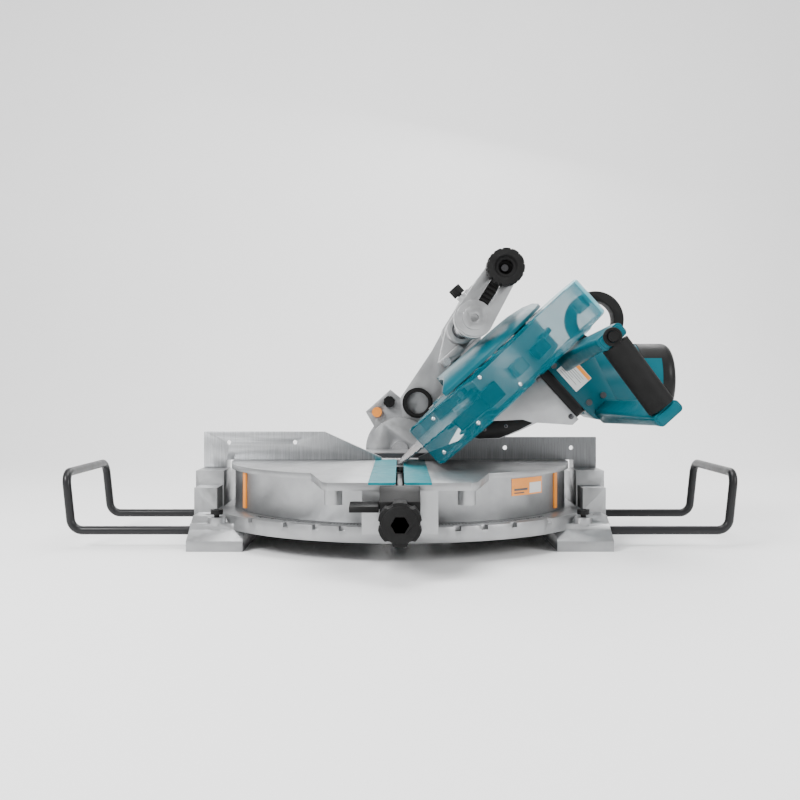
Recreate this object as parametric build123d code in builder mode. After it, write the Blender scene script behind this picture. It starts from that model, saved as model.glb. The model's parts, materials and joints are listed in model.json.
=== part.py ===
"""Sliding compound mitre saw with a 305 mm blade, two fold-out work supports and bench feet.

Millimetres, +X to the right, +Y to the back, +Z up. The origin is the centre of the four
bench-bolt holes on the face that rests on the bench, which is also the turntable's axis.
The fence face is the plane y = 0. Everything that tilts is drawn in a leaned frame: x across
the blade, y as above, t up along the blade, with its origin on the bevel axis.
"""
from build123d import *
from math import asin, cos, pi, radians, sin, tan
import os

os.makedirs("parts", exist_ok=True)

# ---------------------------------------------------------------- driving dimensions
TABLE = 116.0            # height of the table and of the bevel axis
LEAN = 48.0              # bevel angle of the head at rest, to the right
RUNNING = 0.08           # radial clearance of shafts in their bores
GAP = 0.4                # clearance between bodies that don't touch

TABLE_R = 271.0          # turntable lip
SKIRT_R = 265.0          # turntable wall
RING_R = 300.0           # base ring
RING_INNER = 250.0
RING_LOW, RING_HIGH = 28.0, 49.0
ARM_FRONT = -373.0       # front end of the turntable's arm
ARM_HALF = 48.0
CLAMP_Z = 73.0           # height of the mitre clamp rod and its grip
TOWER_IN, TOWER_OUT = 276.0, 320.0
FOOT_FRONT = -200.0
BENCH_X, BENCH_Y, BENCH_R = 285.0, 135.0, 5.5
ROD_SCREW_X = 268.0      # clamp screws of the work supports

ROD_R, ROD_Z = 6.25, 26.0
ROD_NEAR, ROD_FAR = -167.0, 28.0
ROD_OUT = 480.0
ROD_SPLAY = 6.0          # outward lean of the uprights, degrees

FENCE_END = 320.0
FENCE_LEFT_TOP, FENCE_RIGHT_TOP = 46.5, 37.5
FENCE_THICK = 8.0

BLADE_R, BLADE_THICK = 152.5, 2.6
BLADE_Y, BLADE_T = -45.0, 147.0
CASE_R, CASE_HALF = 163.0, 27.0
DISH_R = 182.0
GUARD_R, GUARD_LEFT, GUARD_RIGHT = 182.0, -34.0, 32.0
GUARD_WALL = 2.5

PIVOT_Y, PIVOT_T, PIVOT_R = 155.0, 190.0, 10.0
UPPER_POLE = (-115.0, 305.0)
LOWER_POLE = (-91.0, 225.0)
POLE_R, POLE_WALL = 14.0, 3.0
POLE_FRONT, POLE_REAR = -190.0, 318.0
CARRIAGE_FRONT, CARRIAGE_REAR = 78.0, 197.0

HUB_Y = 297.0            # front face of the bevel arm's hub
HUB_R = 65.0
SHAFT_R = 15.0

GEAR_T = 192.4           # height of the countershaft above the bevel axis
GEAR_APEX = -2.9         # where the motor axis meets the countershaft axis
CONE = 85.0              # cone distance of the bevel gears
PINION_ANGLE, WHEEL_ANGLE = 10.0, 38.0
MOTOR_R = 55.0

# ---------------------------------------------------------------- planes
ACROSS = Vector(cos(radians(LEAN)), 0, -sin(radians(LEAN)))
UP = Vector(sin(radians(LEAN)), 0, cos(radians(LEAN)))
PIVOT_LINE = Vector(0, 0, TABLE)


def flat(z):
    """Horizontal plane, drawn in (x, y), facing up."""
    return Plane(origin=(0, 0, z), x_dir=(1, 0, 0), z_dir=(0, 0, 1))


def upright(y):
    """Vertical plane across the object, drawn in (x, z), facing the front."""
    return Plane(origin=(0, y, 0), x_dir=(1, 0, 0), z_dir=(0, -1, 0))


def beside(x):
    """Vertical plane along the object, drawn in (y, z), facing +x."""
    return Plane(origin=(x, 0, 0), x_dir=(0, 1, 0), z_dir=(1, 0, 0))


def lean_flat(t):
    """Leaned plane at height t, drawn in (x, y), facing up the blade."""
    return Plane(origin=PIVOT_LINE + UP * t, x_dir=ACROSS, z_dir=UP)


def lean_upright(y):
    """Leaned plane across the blade, drawn in (x, t), facing the front."""
    return Plane(origin=(0, y, TABLE), x_dir=ACROSS, z_dir=(0, -1, 0))


def lean_beside(x):
    """Plane parallel to the blade, drawn in (y, t), facing the motor side."""
    return Plane(origin=PIVOT_LINE + ACROSS * x, x_dir=(0, 1, 0), z_dir=ACROSS)


def leaned(x, y, t):
    """A point of the leaned frame in the part's own frame."""
    return PIVOT_LINE + ACROSS * x + UP * t + Vector(0, y, 0)


MOTOR_AXIS = ACROSS * cos(radians(LEAN)) + UP * sin(radians(LEAN))
MOTOR_Y = BLADE_Y


def motor_plane(along):
    """Plane square to the motor axis, at a distance from the bevel gears' common apex."""
    return Plane(origin=leaned(GEAR_APEX, MOTOR_Y, GEAR_T) + MOTOR_AXIS * along,
                 x_dir=(0, 1, 0), z_dir=MOTOR_AXIS)


# ---------------------------------------------------------------- shape helpers
def prism(plane, outline, depth, mode=Mode.ADD):
    with BuildSketch(plane) as profile:
        with BuildLine():
            Polyline(*outline, close=True)
        make_face()
    extrude(profile.sketch, amount=depth, mode=mode)


def disc(plane, centre, radius, depth, mode=Mode.ADD):
    with BuildSketch(plane) as profile:
        with Locations(centre):
            Circle(radius)
    extrude(profile.sketch, amount=depth, mode=mode)


def tube(plane, centre, outer, inner, depth, mode=Mode.ADD):
    with BuildSketch(plane) as profile:
        with Locations(centre):
            Circle(outer)
            Circle(inner, mode=Mode.SUBTRACT)
    extrude(profile.sketch, amount=depth, mode=mode)


def block(plane, low, high, depth, mode=Mode.ADD, corner=0.0):
    with BuildSketch(plane) as profile:
        with Locations(((low[0] + high[0]) / 2, (low[1] + high[1]) / 2)):
            if corner:
                RectangleRounded(high[0] - low[0], high[1] - low[1], corner)
            else:
                Rectangle(high[0] - low[0], high[1] - low[1])
    extrude(profile.sketch, amount=depth, mode=mode)


def capsule(plane, start, end, radius, depth, mode=Mode.ADD):
    """A link with round ends between two points of a plane."""
    with BuildSketch(plane) as profile:
        with Locations(start, end):
            Circle(radius)
        make_hull()
    extrude(profile.sketch, amount=depth, mode=mode)


def lobed(plane, centre, radius, depth, lobes=8, bite=3.0, mode=Mode.ADD):
    """A round knob with scallops round its rim."""
    with BuildSketch(plane) as profile:
        with Locations(centre):
            Circle(radius)
            with PolarLocations(radius + bite * 0.6, lobes):
                Circle(bite * 1.4, mode=Mode.SUBTRACT)
    extrude(profile.sketch, amount=depth, mode=mode)


def sector(plane, outer, inner, start, end, depth, mode=Mode.ADD):
    """Part of a ring about the blade's axis; angles run from the back (+y) upwards."""
    steps = 12
    angles = [radians(start + (end - start) * i / steps) for i in range(steps + 1)]
    far = [(BLADE_Y + 2 * outer * cos(a), BLADE_T + 2 * outer * sin(a)) for a in angles]
    with BuildSketch(plane) as profile:
        with Locations((BLADE_Y, BLADE_T)):
            Circle(outer)
            if inner:
                Circle(inner, mode=Mode.SUBTRACT)
        with BuildLine():
            Polyline((BLADE_Y, BLADE_T), *far, close=True)
        make_face(mode=Mode.INTERSECT)
    extrude(profile.sketch, amount=depth, mode=mode)


def write(piece, name):
    piece.part.label = name
    export_step(piece.part, "parts/" + name + ".step")


# ================================================================ base and fence
DETENTS = (0.0, 15.0, 22.5, 31.6, 45.0)
detent_angles = sorted({side * angle for side in (-1, 1) for angle in DETENTS})

with BuildPart() as base_casting:
    tube(flat(RING_LOW), (0, 0), RING_R, RING_INNER, RING_HIGH - RING_LOW)
    tube(flat(RING_LOW), (0, 0), RING_R - 10, RING_INNER + 6, 16, Mode.SUBTRACT)
    tube(flat(RING_LOW), (0, 0), 42.0, 8.2, RING_HIGH - RING_LOW)
    for turn in (45, 135, 225, 315):
        with BuildSketch(flat(35.0)) as spoke:
            with Locations(Location((0, 0), turn)):
                with Locations((150, 0)):
                    Rectangle(220, 22)
        extrude(spoke.sketch, amount=RING_HIGH - 35.0)
    for hand in (-1, 1):
        def across(low, high):
            return (low, high) if hand > 0 else (-high, -low)

        left, right = across(TOWER_IN, TOWER_OUT)
        prism(beside(left), [(-64, 0), (-64, 104), (-3, 104), (-3, 98), (60, 98), (78, 80), (78, 0)],
              right - left)
        left, right = across(278, 313)
        block(beside(left), (-110, 30), (-64, 82), right - left)
        left, right = across(225, 306)
        prism(beside(left), [(FOOT_FRONT, 0), (-60, 0), (-60, 45), (-152, 45), (FOOT_FRONT, 15)],
              right - left)
        left, right = across(262, 306)
        block(beside(left), (70, 0), (162, 16), right - left)
        # hollow underside of the foot, the tower and the front box
        left, right = across(232, 299)
        prism(beside(left), [(-193, 0), (-67, 0), (-67, 38), (-149, 38), (-193, 12)],
              right - left, Mode.SUBTRACT)
        left, right = across(283, 313)
        block(beside(left), (-57, 0), (71, 90), right - left, Mode.SUBTRACT)
        # bosses for the bench bolts, the support clamp screw and the support rods
        for y, top in ((-BENCH_Y, 45.0), (BENCH_Y, 18.0)):
            disc(flat(0), (hand * BENCH_X, y), 13.0, top)
        disc(flat(33.5), (hand * ROD_SCREW_X, ROD_NEAR), 13.0, 12.0)
        for y, inner in ((ROD_NEAR, 226), (ROD_FAR, 255)):
            left, right = across(inner, 305)
            block(beside(left), (y - 11, 15), (y + 11, 37), right - left)
            left, right = across(150, 330)
            disc(beside(left), (y, ROD_Z), ROD_R + RUNNING, right - left, Mode.SUBTRACT)
        disc(flat(76), (hand * 301.5, 20), 4.3, 30, Mode.SUBTRACT)
        for y in (-BENCH_Y, BENCH_Y):
            disc(flat(-1), (hand * BENCH_X, y), BENCH_R, 60.0, Mode.SUBTRACT)
        disc(flat(ROD_Z), (hand * ROD_SCREW_X, ROD_NEAR), 4.0, 25.0, Mode.SUBTRACT)
    for angle in detent_angles:
        with BuildSketch(flat(RING_HIGH - 6)) as notch:
            with Locations(Location((0, 0), angle - 90)):
                with Locations((RING_R - 3, 0)):
                    Rectangle(10, 9)
        extrude(notch.sketch, amount=10, mode=Mode.SUBTRACT)
write(base_casting, "base_casting")

with BuildPart() as pivot_bolt:
    disc(flat(20), (0, 0), 8.0, 78)
    with BuildSketch(flat(14)) as head:
        RegularPolygon(12.0, 6)
    extrude(head.sketch, amount=13.5)
    disc(flat(98), (0, 0), 13.0, 7)
write(pivot_bolt, "pivot_bolt")

with BuildPart() as rod_clamp_screws:
    for hand in (-1, 1):
        disc(flat(ROD_Z + ROD_R + 0.5), (hand * ROD_SCREW_X, ROD_NEAR), 3.9, 18.0)
        disc(flat(49.6), (hand * ROD_SCREW_X, ROD_NEAR), 9.0, 7.0)
        with BuildSketch(flat(52.6)) as socket:
            with Locations((hand * ROD_SCREW_X, ROD_NEAR)):
                RegularPolygon(4.6, 6)
        extrude(socket.sketch, amount=5.0, mode=Mode.SUBTRACT)
write(rod_clamp_screws, "rod_clamp_screws")

FENCE_INNER = 30.0       # foot of the fence's inner slope, where it clears the leaned blade


def fence_half(hand, top):
    """One half of the fence: a machined face with a slope towards the kerf and an outer leg."""
    flat_end = 123.0 if hand < 0 else 112.0
    outline = [(hand * FENCE_END, TABLE + 0.5), (hand * FENCE_END, TABLE + top),
               (hand * flat_end, TABLE + top), (hand * 48.5, TABLE + 13.0),
               (hand * FENCE_INNER, TABLE + 4.5), (hand * FENCE_INNER, TABLE + 0.5)]
    prism(upright(FENCE_THICK), outline, FENCE_THICK)
    inner, outer = sorted((hand * 283.0, hand * FENCE_END))
    block(upright(40.0), (inner, 98.0), (outer, TABLE + 8.0), 40.0)
    inner, outer = sorted((hand * 90.0, hand * 284.0))
    block(upright(30.0), (inner, TABLE + 0.5), (outer, TABLE + 8.0), 24.0)
    for x in (130.0, 190.0, 250.0):
        inner, outer = sorted((hand * (x - 3), hand * (x + 3)))
        prism(beside(inner), [(6, TABLE + 6), (28, TABLE + 6), (8, TABLE + top - 6), (6, TABLE + top - 6)],
              outer - inner)
    for x in (171.5, 279.5):
        disc(upright(20.0), (hand * x, TABLE + top - 17.5), 3.6, 24.0, Mode.SUBTRACT)
    disc(flat(90), (hand * 301.5, 20), 4.3, 40, Mode.SUBTRACT)


with BuildPart() as fence_left:
    fence_half(-1, FENCE_LEFT_TOP)
write(fence_left, "fence_left")

with BuildPart() as fence_right:
    fence_half(1, FENCE_RIGHT_TOP)
write(fence_right, "fence_right")

with BuildPart() as fence_bridge:
    # a U-shaped tie that carries the two halves past the open kerf
    for hand in (-1, 1):
        inner, outer = sorted((hand * 112.0, hand * 200.0))
        block(flat(TABLE + 0.5), (inner, 30.0), (outer, 62.0), 7.0, corner=4.0)
    tie = [(-125, 60), (-125, 34), (-100, 34), (-92, 50), (92, 50), (100, 34), (125, 34), (125, 60),
           (100, 72), (-100, 72)]
    prism(flat(TABLE + 0.5), tie, 7.0)
write(fence_bridge, "fence_bridge")

with BuildPart() as fence_bolts:
    for hand in (-1, 1):
        disc(flat(78), (hand * 301.5, 20), 4.2, 46)
        disc(flat(TABLE + 8.0), (hand * 301.5, 20), 8.0, 7)
        with BuildSketch(flat(TABLE + 11.0)) as socket:
            with Locations((hand * 301.5, 20)):
                RegularPolygon(4.0, 6)
        extrude(socket.sketch, amount=5, mode=Mode.SUBTRACT)
write(fence_bolts, "fence_bolts")


# ================================================================ work supports
def support_path(hand):
    """The bent rod's centre line: in along the bench, up, and along the crossbar."""
    rise = TABLE - ROD_R - ROD_Z
    lean = rise * tan(radians(ROD_SPLAY))
    foot, top = hand * ROD_OUT, hand * (ROD_OUT + lean)
    inner_near, inner_far = hand * 232.0, hand * 262.0
    return [(inner_near, ROD_NEAR, ROD_Z), (foot, ROD_NEAR, ROD_Z), (top, ROD_NEAR, TABLE - ROD_R),
            (top, ROD_FAR, TABLE - ROD_R), (foot, ROD_FAR, ROD_Z), (inner_far, ROD_FAR, ROD_Z)]


def support_rod(hand):
    points = support_path(hand)
    with BuildLine() as line:
        FilletPolyline(*points, radius=18.0)
    with BuildSketch(Plane(origin=points[0], z_dir=(hand, 0, 0))) as section:
        Circle(ROD_R)
    sweep(section.sketch, path=line.line)


with BuildPart() as work_support_left:
    support_rod(-1)
write(work_support_left, "work_support_left")

with BuildPart() as work_support_right:
    support_rod(1)
write(work_support_right, "work_support_right")

# ================================================================ turntable
KERF_HALF, PLATE_HALF, LEDGE_HALF = 5.5, 40.0, 30.0
PLATE_THICK = 3.0

with BuildPart() as turntable:
    wing = [(-123, -242), (-98, ARM_FRONT + 8), (-90, ARM_FRONT), (90, ARM_FRONT),
            (98, ARM_FRONT + 8), (123, -242), (60, 0), (-60, 0)]
    disc(flat(108), (0, 0), TABLE_R, TABLE - 108)
    prism(flat(106), wing, TABLE - 106)
    # the plate is thinner between its ribs
    for side in (-1, 1):
        for way in (-1, 1):
            with BuildSketch(flat(105)) as pocket:
                Circle(SKIRT_R - 9)
                with Locations((side * 154, way * 131)):
                    Rectangle(204, 250, mode=Mode.INTERSECT)
            extrude(pocket.sketch, amount=5.5, mode=Mode.SUBTRACT)
    tube(flat(RING_HIGH + GAP), (0, 0), SKIRT_R, SKIRT_R - 5, 108.5 - RING_HIGH - GAP)
    tube(flat(RING_HIGH + GAP), (0, 0), 30.0, 8.0 + RUNNING, 98 - RING_HIGH - GAP - 0.4)
    # the arm's walls carry the table forward and hold the clamp rod
    for hand in (-1, 1):
        left, right = sorted((hand * (ARM_HALF - 6), hand * ARM_HALF))
        block(beside(left), (ARM_FRONT + 2, 51), (-30, 108), right - left)
        disc(flat(86), (hand * 85, -350), 11.5, 21)
        block(flat(80), (left, -30), (right, 240), 28)
    block(upright(ARM_FRONT + 8), (-ARM_HALF, 51), (ARM_HALF, 106), 6)
    block(upright(-220), (-ARM_HALF, 60), (ARM_HALF, 96), 6)
    # web that ties the skirt, the arm's walls and the centre hub together
    for turn in (0, 180):
        with BuildSketch(flat(70)) as web:
            with Locations(Location((0, 0), turn)):
                with Locations((145, 0)):
                    Rectangle(238, 7)
        extrude(web.sketch, amount=40)
    block(beside(-3.5), (-222, 80), (-27, 96), 7)
    # rear bearing for the bevel shaft
    prism(flat(60), [(-58, 240), (58, 240), (50, 268), (50, HUB_Y - GAP), (-50, HUB_Y - GAP), (-50, 268)], 48)
    disc(upright(HUB_Y - GAP), (0, TABLE), HUB_R - 5, 22)
    block(flat(108), (-LEDGE_HALF, ARM_FRONT + 14), (LEDGE_HALF, 12), 20, Mode.SUBTRACT)
    block(flat(100), (-LEDGE_HALF, ARM_FRONT + 14), (LEDGE_HALF, -34), 20, Mode.SUBTRACT)
    block(flat(TABLE - PLATE_THICK), (-PLATE_HALF - 0.2, ARM_FRONT - 2), (PLATE_HALF + 0.2, 14.2), 20,
          Mode.SUBTRACT)
    block(flat(100), (-KERF_HALF, ARM_FRONT - 2), (KERF_HALF, -30), 20, Mode.SUBTRACT)
    disc(flat(97.6), (0, 0), 14.0, 12, Mode.SUBTRACT)
    disc(upright(HUB_Y + 5), (0, TABLE), SHAFT_R + RUNNING, 40, Mode.SUBTRACT)
    disc(upright(-60), (0, CLAMP_Z), 5.0 + RUNNING, 340, Mode.SUBTRACT)
    for hand in (-1, 1):
        for y in (-345, -240, -130, -10):
            disc(flat(100), (hand * 35.0, y), 1.7, 14, Mode.SUBTRACT)
write(turntable, "turntable")

for hand, name in ((-1, "kerf_plate_left"), (1, "kerf_plate_right")):
    with BuildPart() as kerf_plate:
        low, top = TABLE - PLATE_THICK, TABLE
        prism(upright(14), [(hand * (KERF_HALF + 2.2), low + 0.02), (hand * KERF_HALF, top - 0.8),
                            (hand * KERF_HALF, top), (hand * PLATE_HALF, top),
                            (hand * PLATE_HALF, low + 0.02)], 14 - ARM_FRONT)
        for y in (-345, -240, -130, -10):
            with BuildSketch(flat(low - 1)) as hole:
                with Locations((hand * 35.0, y)):
                    Circle(1.8)
            extrude(hole.sketch, amount=5, mode=Mode.SUBTRACT)
            with Locations(Location((hand * 35.0, y, top - 0.9))):
                Cone(1.8, 3.8, 1.82, mode=Mode.SUBTRACT)
    write(kerf_plate, name)

with BuildPart() as kerf_screws:
    for hand in (-1, 1):
        for y in (-345, -240, -130, -10):
            disc(flat(TABLE - 12), (hand * 35.0, y), 1.65, 10.2)
            with Locations(Location((hand * 35.0, y, TABLE - 1.05))):
                Cone(1.65, 3.5, 1.6)
write(kerf_screws, "kerf_screws")

GRIP_FRONT = -447.0

with BuildPart() as arm_bracket:
    prism(beside(-25), [(ARM_FRONT, 112.5), (-384, 112.5), (-398, 104), (-409, 96), (-409, 60),
                        (-392, 52), (ARM_FRONT, 52)], 50)
    disc(upright(ARM_FRONT + 1), (0, CLAMP_Z), 5.0 + RUNNING, 60, Mode.SUBTRACT)
    disc(beside(-26), (-388, 88), 3.0 + RUNNING, 14, Mode.SUBTRACT)
write(arm_bracket, "arm_bracket")

with BuildPart() as mitre_grip:
    lobed(upright(-411), (0, CLAMP_Z), 26.6, -GRIP_FRONT - 413, lobes=6, bite=4.5)
    disc(upright(GRIP_FRONT + 2), (0, CLAMP_Z), 22.0, 2)
    with BuildSketch(upright(GRIP_FRONT + 22)) as recess:
        with Locations((0, CLAMP_Z)):
            RegularPolygon(11.0, 6)
    extrude(recess.sketch, amount=24, mode=Mode.SUBTRACT)
    disc(upright(-405), (0, CLAMP_Z), 5.0, 14, Mode.SUBTRACT)
write(mitre_grip, "mitre_grip")

with BuildPart() as mitre_clamp_rod:
    disc(upright(-70), (0, CLAMP_Z), 5.0, 349)
write(mitre_clamp_rod, "mitre_clamp_rod")

with BuildPart() as detent_lever:
    disc(beside(-60), (-388, 88), 3.0, 47)
    prism(beside(-62), [(-381, 92), (-384, 94), (-412, 91), (-414, 84), (-408, 83), (-384, 82), (-381, 84)],
          36)
write(detent_lever, "detent_lever")

with BuildPart() as detent_spring:
    block(flat(54), (8, -364), (22, -272), 1.2)
    disc(flat(55.2), (15, -300), 5.0, 6)
write(detent_spring, "detent_spring")

STRIP_ANGLE = 61.0

with BuildPart() as side_strips:
    for hand in (-1, 1):
        with BuildSketch(flat(54)) as strip:
            with Locations(Location((0, 0), -90 + hand * STRIP_ANGLE)):
                with Locations((SKIRT_R + 1.2, 0)):
                    Rectangle(2.0, 11)
        extrude(strip.sketch, amount=53)
write(side_strips, "side_strips")

# ================================================================ bevel arm and slide poles
BUTTON_AT, STOP_KNOB_AT = (-82.0, 14.0), (-81.0, 45.0)
ELBOW_AT = (-43.0, 84.0)

with BuildPart() as bevel_arm:
    arm_outline = [(60, 0), (62, 60), (34, 150), (-40, 235), (-60, 262), (-72, 318), (-100, 334),
                   (-132, 326), (-143, 300), (-124, 243), (-99, 173), (-72, 66), (-97, 62),
                   (-97, -2), (-60, -10)]
    prism(lean_upright(330), arm_outline, 33)
    disc(lean_upright(330), (0, 0), HUB_R + 1, 33)
    # lightening pocket in the back, then the clamp block that holds the poles
    prism(lean_upright(331), [(40, 62), (20, 140), (-48, 215), (-92, 226), (-84, 170), (-58, 80)], 24,
          Mode.SUBTRACT)
    with BuildSketch(lean_upright(318)) as clamp:
        with Locations(LOWER_POLE):
            Circle(27)
        with Locations(UPPER_POLE):
            Circle(25)
        make_hull()
    extrude(clamp.sketch, amount=78)
    prism(lean_upright(298), [(-64, 200), (-40, 235), (-60, 262), (-66, 262), (-72, 200)], 50)
    for pole in (LOWER_POLE, UPPER_POLE):
        disc(lean_upright(POLE_REAR), pole, POLE_R, 90, Mode.SUBTRACT)
        disc(lean_upright(332), pole, 6.0, 20, Mode.SUBTRACT)
    disc(lean_upright(332), (0, 0), SHAFT_R, 40, Mode.SUBTRACT)
    for place, radius in ((BUTTON_AT, 5.0), (STOP_KNOB_AT, 4.0)):
        disc(lean_upright(332), place, radius + RUNNING, 40, Mode.SUBTRACT)
    disc(lean_upright(332), (-113, 262), 5.0, 100, Mode.SUBTRACT)
write(bevel_arm, "bevel_arm")

with BuildPart() as bevel_shaft:
    disc(upright(345), (0, TABLE), SHAFT_R, 80)
    disc(upright(265), (0, TABLE), 11.0, 1.5)
write(bevel_shaft, "bevel_shaft")

with BuildPart() as bevel_nut:
    with BuildSketch(upright(343)) as nut:
        with Locations((0, TABLE)):
            RegularPolygon(24.0, 6)
            Circle(SHAFT_R, mode=Mode.SUBTRACT)
    extrude(nut.sketch, amount=12.9)
write(bevel_nut, "bevel_nut")

with BuildPart() as dust_elbow:
    tube(lean_upright(HUB_Y), ELBOW_AT, 27.0, 21.0, 12)
    tube(lean_upright(HUB_Y - 12), ELBOW_AT, 29.0, 21.0, 5)
    tube(lean_upright(HUB_Y - 17), ELBOW_AT, 26.0, 21.0, 8)
write(dust_elbow, "dust_elbow")

for pole, name in ((UPPER_POLE, "upper_pole"), (LOWER_POLE, "lower_pole")):
    with BuildPart() as slide_pole:
        tube(lean_upright(POLE_REAR), pole, POLE_R, POLE_R - POLE_WALL, POLE_REAR - POLE_FRONT)
    write(slide_pole, name)

HOLDER_REAR = -166.0
pole_step = Vector(UPPER_POLE[0] - LOWER_POLE[0], UPPER_POLE[1] - LOWER_POLE[1])
pole_middle = Vector(*LOWER_POLE) + pole_step * 0.5
pole_tilt = 90 + 180 / pi * asin(-pole_step.X / pole_step.length)


def between_poles(plane, length, width, depth, mode=Mode.ADD, along=0.5):
    """A slot-shaped boss or recess on the line between the two poles."""
    middle = Vector(*LOWER_POLE) + pole_step * along
    with BuildSketch(plane) as profile:
        with Locations(Location((middle.X, middle.Y), pole_tilt)):
            RectangleRounded(length, width, width * 0.3)
    extrude(profile.sketch, amount=depth, mode=mode)


with BuildPart() as pole_holder:
    with BuildSketch(lean_upright(HOLDER_REAR)) as holder:
        with Locations(LOWER_POLE):
            Circle(28.3)
        with Locations(UPPER_POLE):
            Circle(23.0)
        make_hull()
    extrude(holder.sketch, amount=HOLDER_REAR - POLE_FRONT)
    disc(lean_upright(POLE_FRONT), LOWER_POLE, 26.0, 9)
    disc(lean_upright(POLE_FRONT - 9), LOWER_POLE, 17.0, 6)
    between_poles(lean_upright(HOLDER_REAR + 1), 44, 17, 30, Mode.SUBTRACT, along=0.52)
    disc(lean_upright(HOLDER_REAR + 1), UPPER_POLE, POLE_R, 40, Mode.SUBTRACT)
    disc(lean_upright(HOLDER_REAR + 1), LOWER_POLE, POLE_R, 1 + HOLDER_REAR - POLE_FRONT, Mode.SUBTRACT)
    disc(lean_upright(POLE_FRONT - 6), LOWER_POLE, 6.0, 12, Mode.SUBTRACT)
write(pole_holder, "pole_holder")

with BuildPart() as pole_insert:
    between_poles(lean_upright(HOLDER_REAR), 40, 15, 18, along=0.52)
    for step in range(5):
        middle = Vector(*LOWER_POLE) + pole_step * (0.36 + 0.08 * step)
        with BuildSketch(lean_upright(HOLDER_REAR - 18)) as rib:
            with Locations(Location((middle.X, middle.Y), pole_tilt)):
                Rectangle(3.0, 13)
        extrude(rib.sketch, amount=5)
write(pole_insert, "pole_insert")

with BuildPart() as bevel_lock_knob:
    lobed(lean_upright(POLE_FRONT - 1.2), UPPER_POLE, 26.6, 29, lobes=12, bite=2.0)
    with BuildSketch(lean_upright(POLE_FRONT - 31)) as mouth:
        with Locations(UPPER_POLE):
            Circle(17)
    extrude(mouth.sketch, amount=-6, taper=30, mode=Mode.SUBTRACT)
    disc(lean_upright(POLE_FRONT - 8), UPPER_POLE, 10.5, 30, Mode.SUBTRACT)
    disc(lean_upright(POLE_FRONT), UPPER_POLE, 5.0, 12, Mode.SUBTRACT)
write(bevel_lock_knob, "bevel_lock_knob")

with BuildPart() as bevel_clamp_rod:
    disc(lean_upright(338), UPPER_POLE, 5.0, 338 - POLE_FRONT + 12)
write(bevel_clamp_rod, "bevel_clamp_rod")

with BuildPart() as release_button:
    disc(lean_upright(336), BUTTON_AT, 5.0, 46)
    disc(lean_upright(HUB_Y - 7), BUTTON_AT, 9.5, 9)
write(release_button, "release_button")

with BuildPart() as bevel_stop_knob:
    disc(lean_upright(334), STOP_KNOB_AT, 4.0, 38)
    lobed(lean_upright(HUB_Y - 1), STOP_KNOB_AT, 11.0, 16, lobes=8, bite=1.4)
write(bevel_stop_knob, "bevel_stop_knob")

# ================================================================ carriage
LUG_LEFT, LUG_RIGHT = (-62.0, -47.0), (9.0, 24.0)
STOP_BOLT_AT = (-67.0, 168.0)

with BuildPart() as carriage:
    with BuildSketch(lean_upright(CARRIAGE_REAR)) as saddle:
        with Locations(LOWER_POLE):
            Circle(25)
        with Locations(UPPER_POLE):
            Circle(23)
        make_hull()
    extrude(saddle.sketch, amount=CARRIAGE_REAR - CARRIAGE_FRONT)
    prism(lean_upright(CARRIAGE_REAR), [(-112, 212), (-75, 160), (-60, 160), (-60, 240), (-70, 250)], 60)
    block(lean_upright(137), (-75, 160), (-60, 205), 137 - CARRIAGE_FRONT - 10)
    block(lean_upright(CARRIAGE_REAR), (-75, 174), (LUG_RIGHT[1], 236), 16)
    for low, high in (LUG_LEFT, LUG_RIGHT):
        with BuildSketch(lean_beside(low)) as lug:
            with Locations((PIVOT_Y, PIVOT_T)):
                Circle(20)
            with Locations((184, 196), (184, 222)):
                Circle(12)
            make_hull()
        extrude(lug.sketch, amount=high - low)
    disc(lean_beside(-76), (PIVOT_Y, PIVOT_T), PIVOT_R, 110, Mode.SUBTRACT)
    for pole in (LOWER_POLE, UPPER_POLE):
        disc(lean_upright(CARRIAGE_REAR + 1), pole, POLE_R + 3, 130, Mode.SUBTRACT)
    disc(lean_upright(CARRIAGE_REAR - 10), STOP_BOLT_AT, 4.0, 130, Mode.SUBTRACT)
    disc(lean_beside(-136), (104, 264), 9.0, 30)
    disc(lean_beside(-137), (104, 264), 4.0 + RUNNING, 30, Mode.SUBTRACT)
write(carriage, "carriage")

with BuildPart() as pole_bushes:
    for pole in (LOWER_POLE, UPPER_POLE):
        for front in (CARRIAGE_FRONT + 2, CARRIAGE_REAR - 28):
            tube(lean_upright(front + 26), pole, POLE_R + 3, POLE_R + RUNNING, 26)
write(pole_bushes, "pole_bushes")

with BuildPart() as slide_lock_screw:
    disc(lean_beside(-140), (104, 264), 4.0, 24)
    lobed(lean_beside(-154), (104, 264), 11.0, 16, lobes=6, bite=2.0)
write(slide_lock_screw, "slide_lock_screw")

with BuildPart() as head_pin:
    disc(lean_beside(-66), (PIVOT_Y, PIVOT_T), PIVOT_R, 93)
    disc(lean_beside(24), (PIVOT_Y, PIVOT_T), 14.0, 5)
write(head_pin, "head_pin")

SPRING_LOW, SPRING_HIGH = -26.0, -8.0

with BuildPart() as lift_spring:
    turns = 5
    pitch = (SPRING_HIGH - SPRING_LOW) / turns
    for turn in range(turns):
        with BuildSketch(Plane(origin=leaned(SPRING_LOW + pitch * (turn + 0.5), PIVOT_Y, PIVOT_T),
                               x_dir=ACROSS, z_dir=(0, 1, 0))) as wire:
            with Locations((0, 13.0)):
                Circle(1.9)
        revolve(wire.sketch, axis=Axis(leaned(0, PIVOT_Y, PIVOT_T), ACROSS))
write(lift_spring, "lift_spring")

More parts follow.
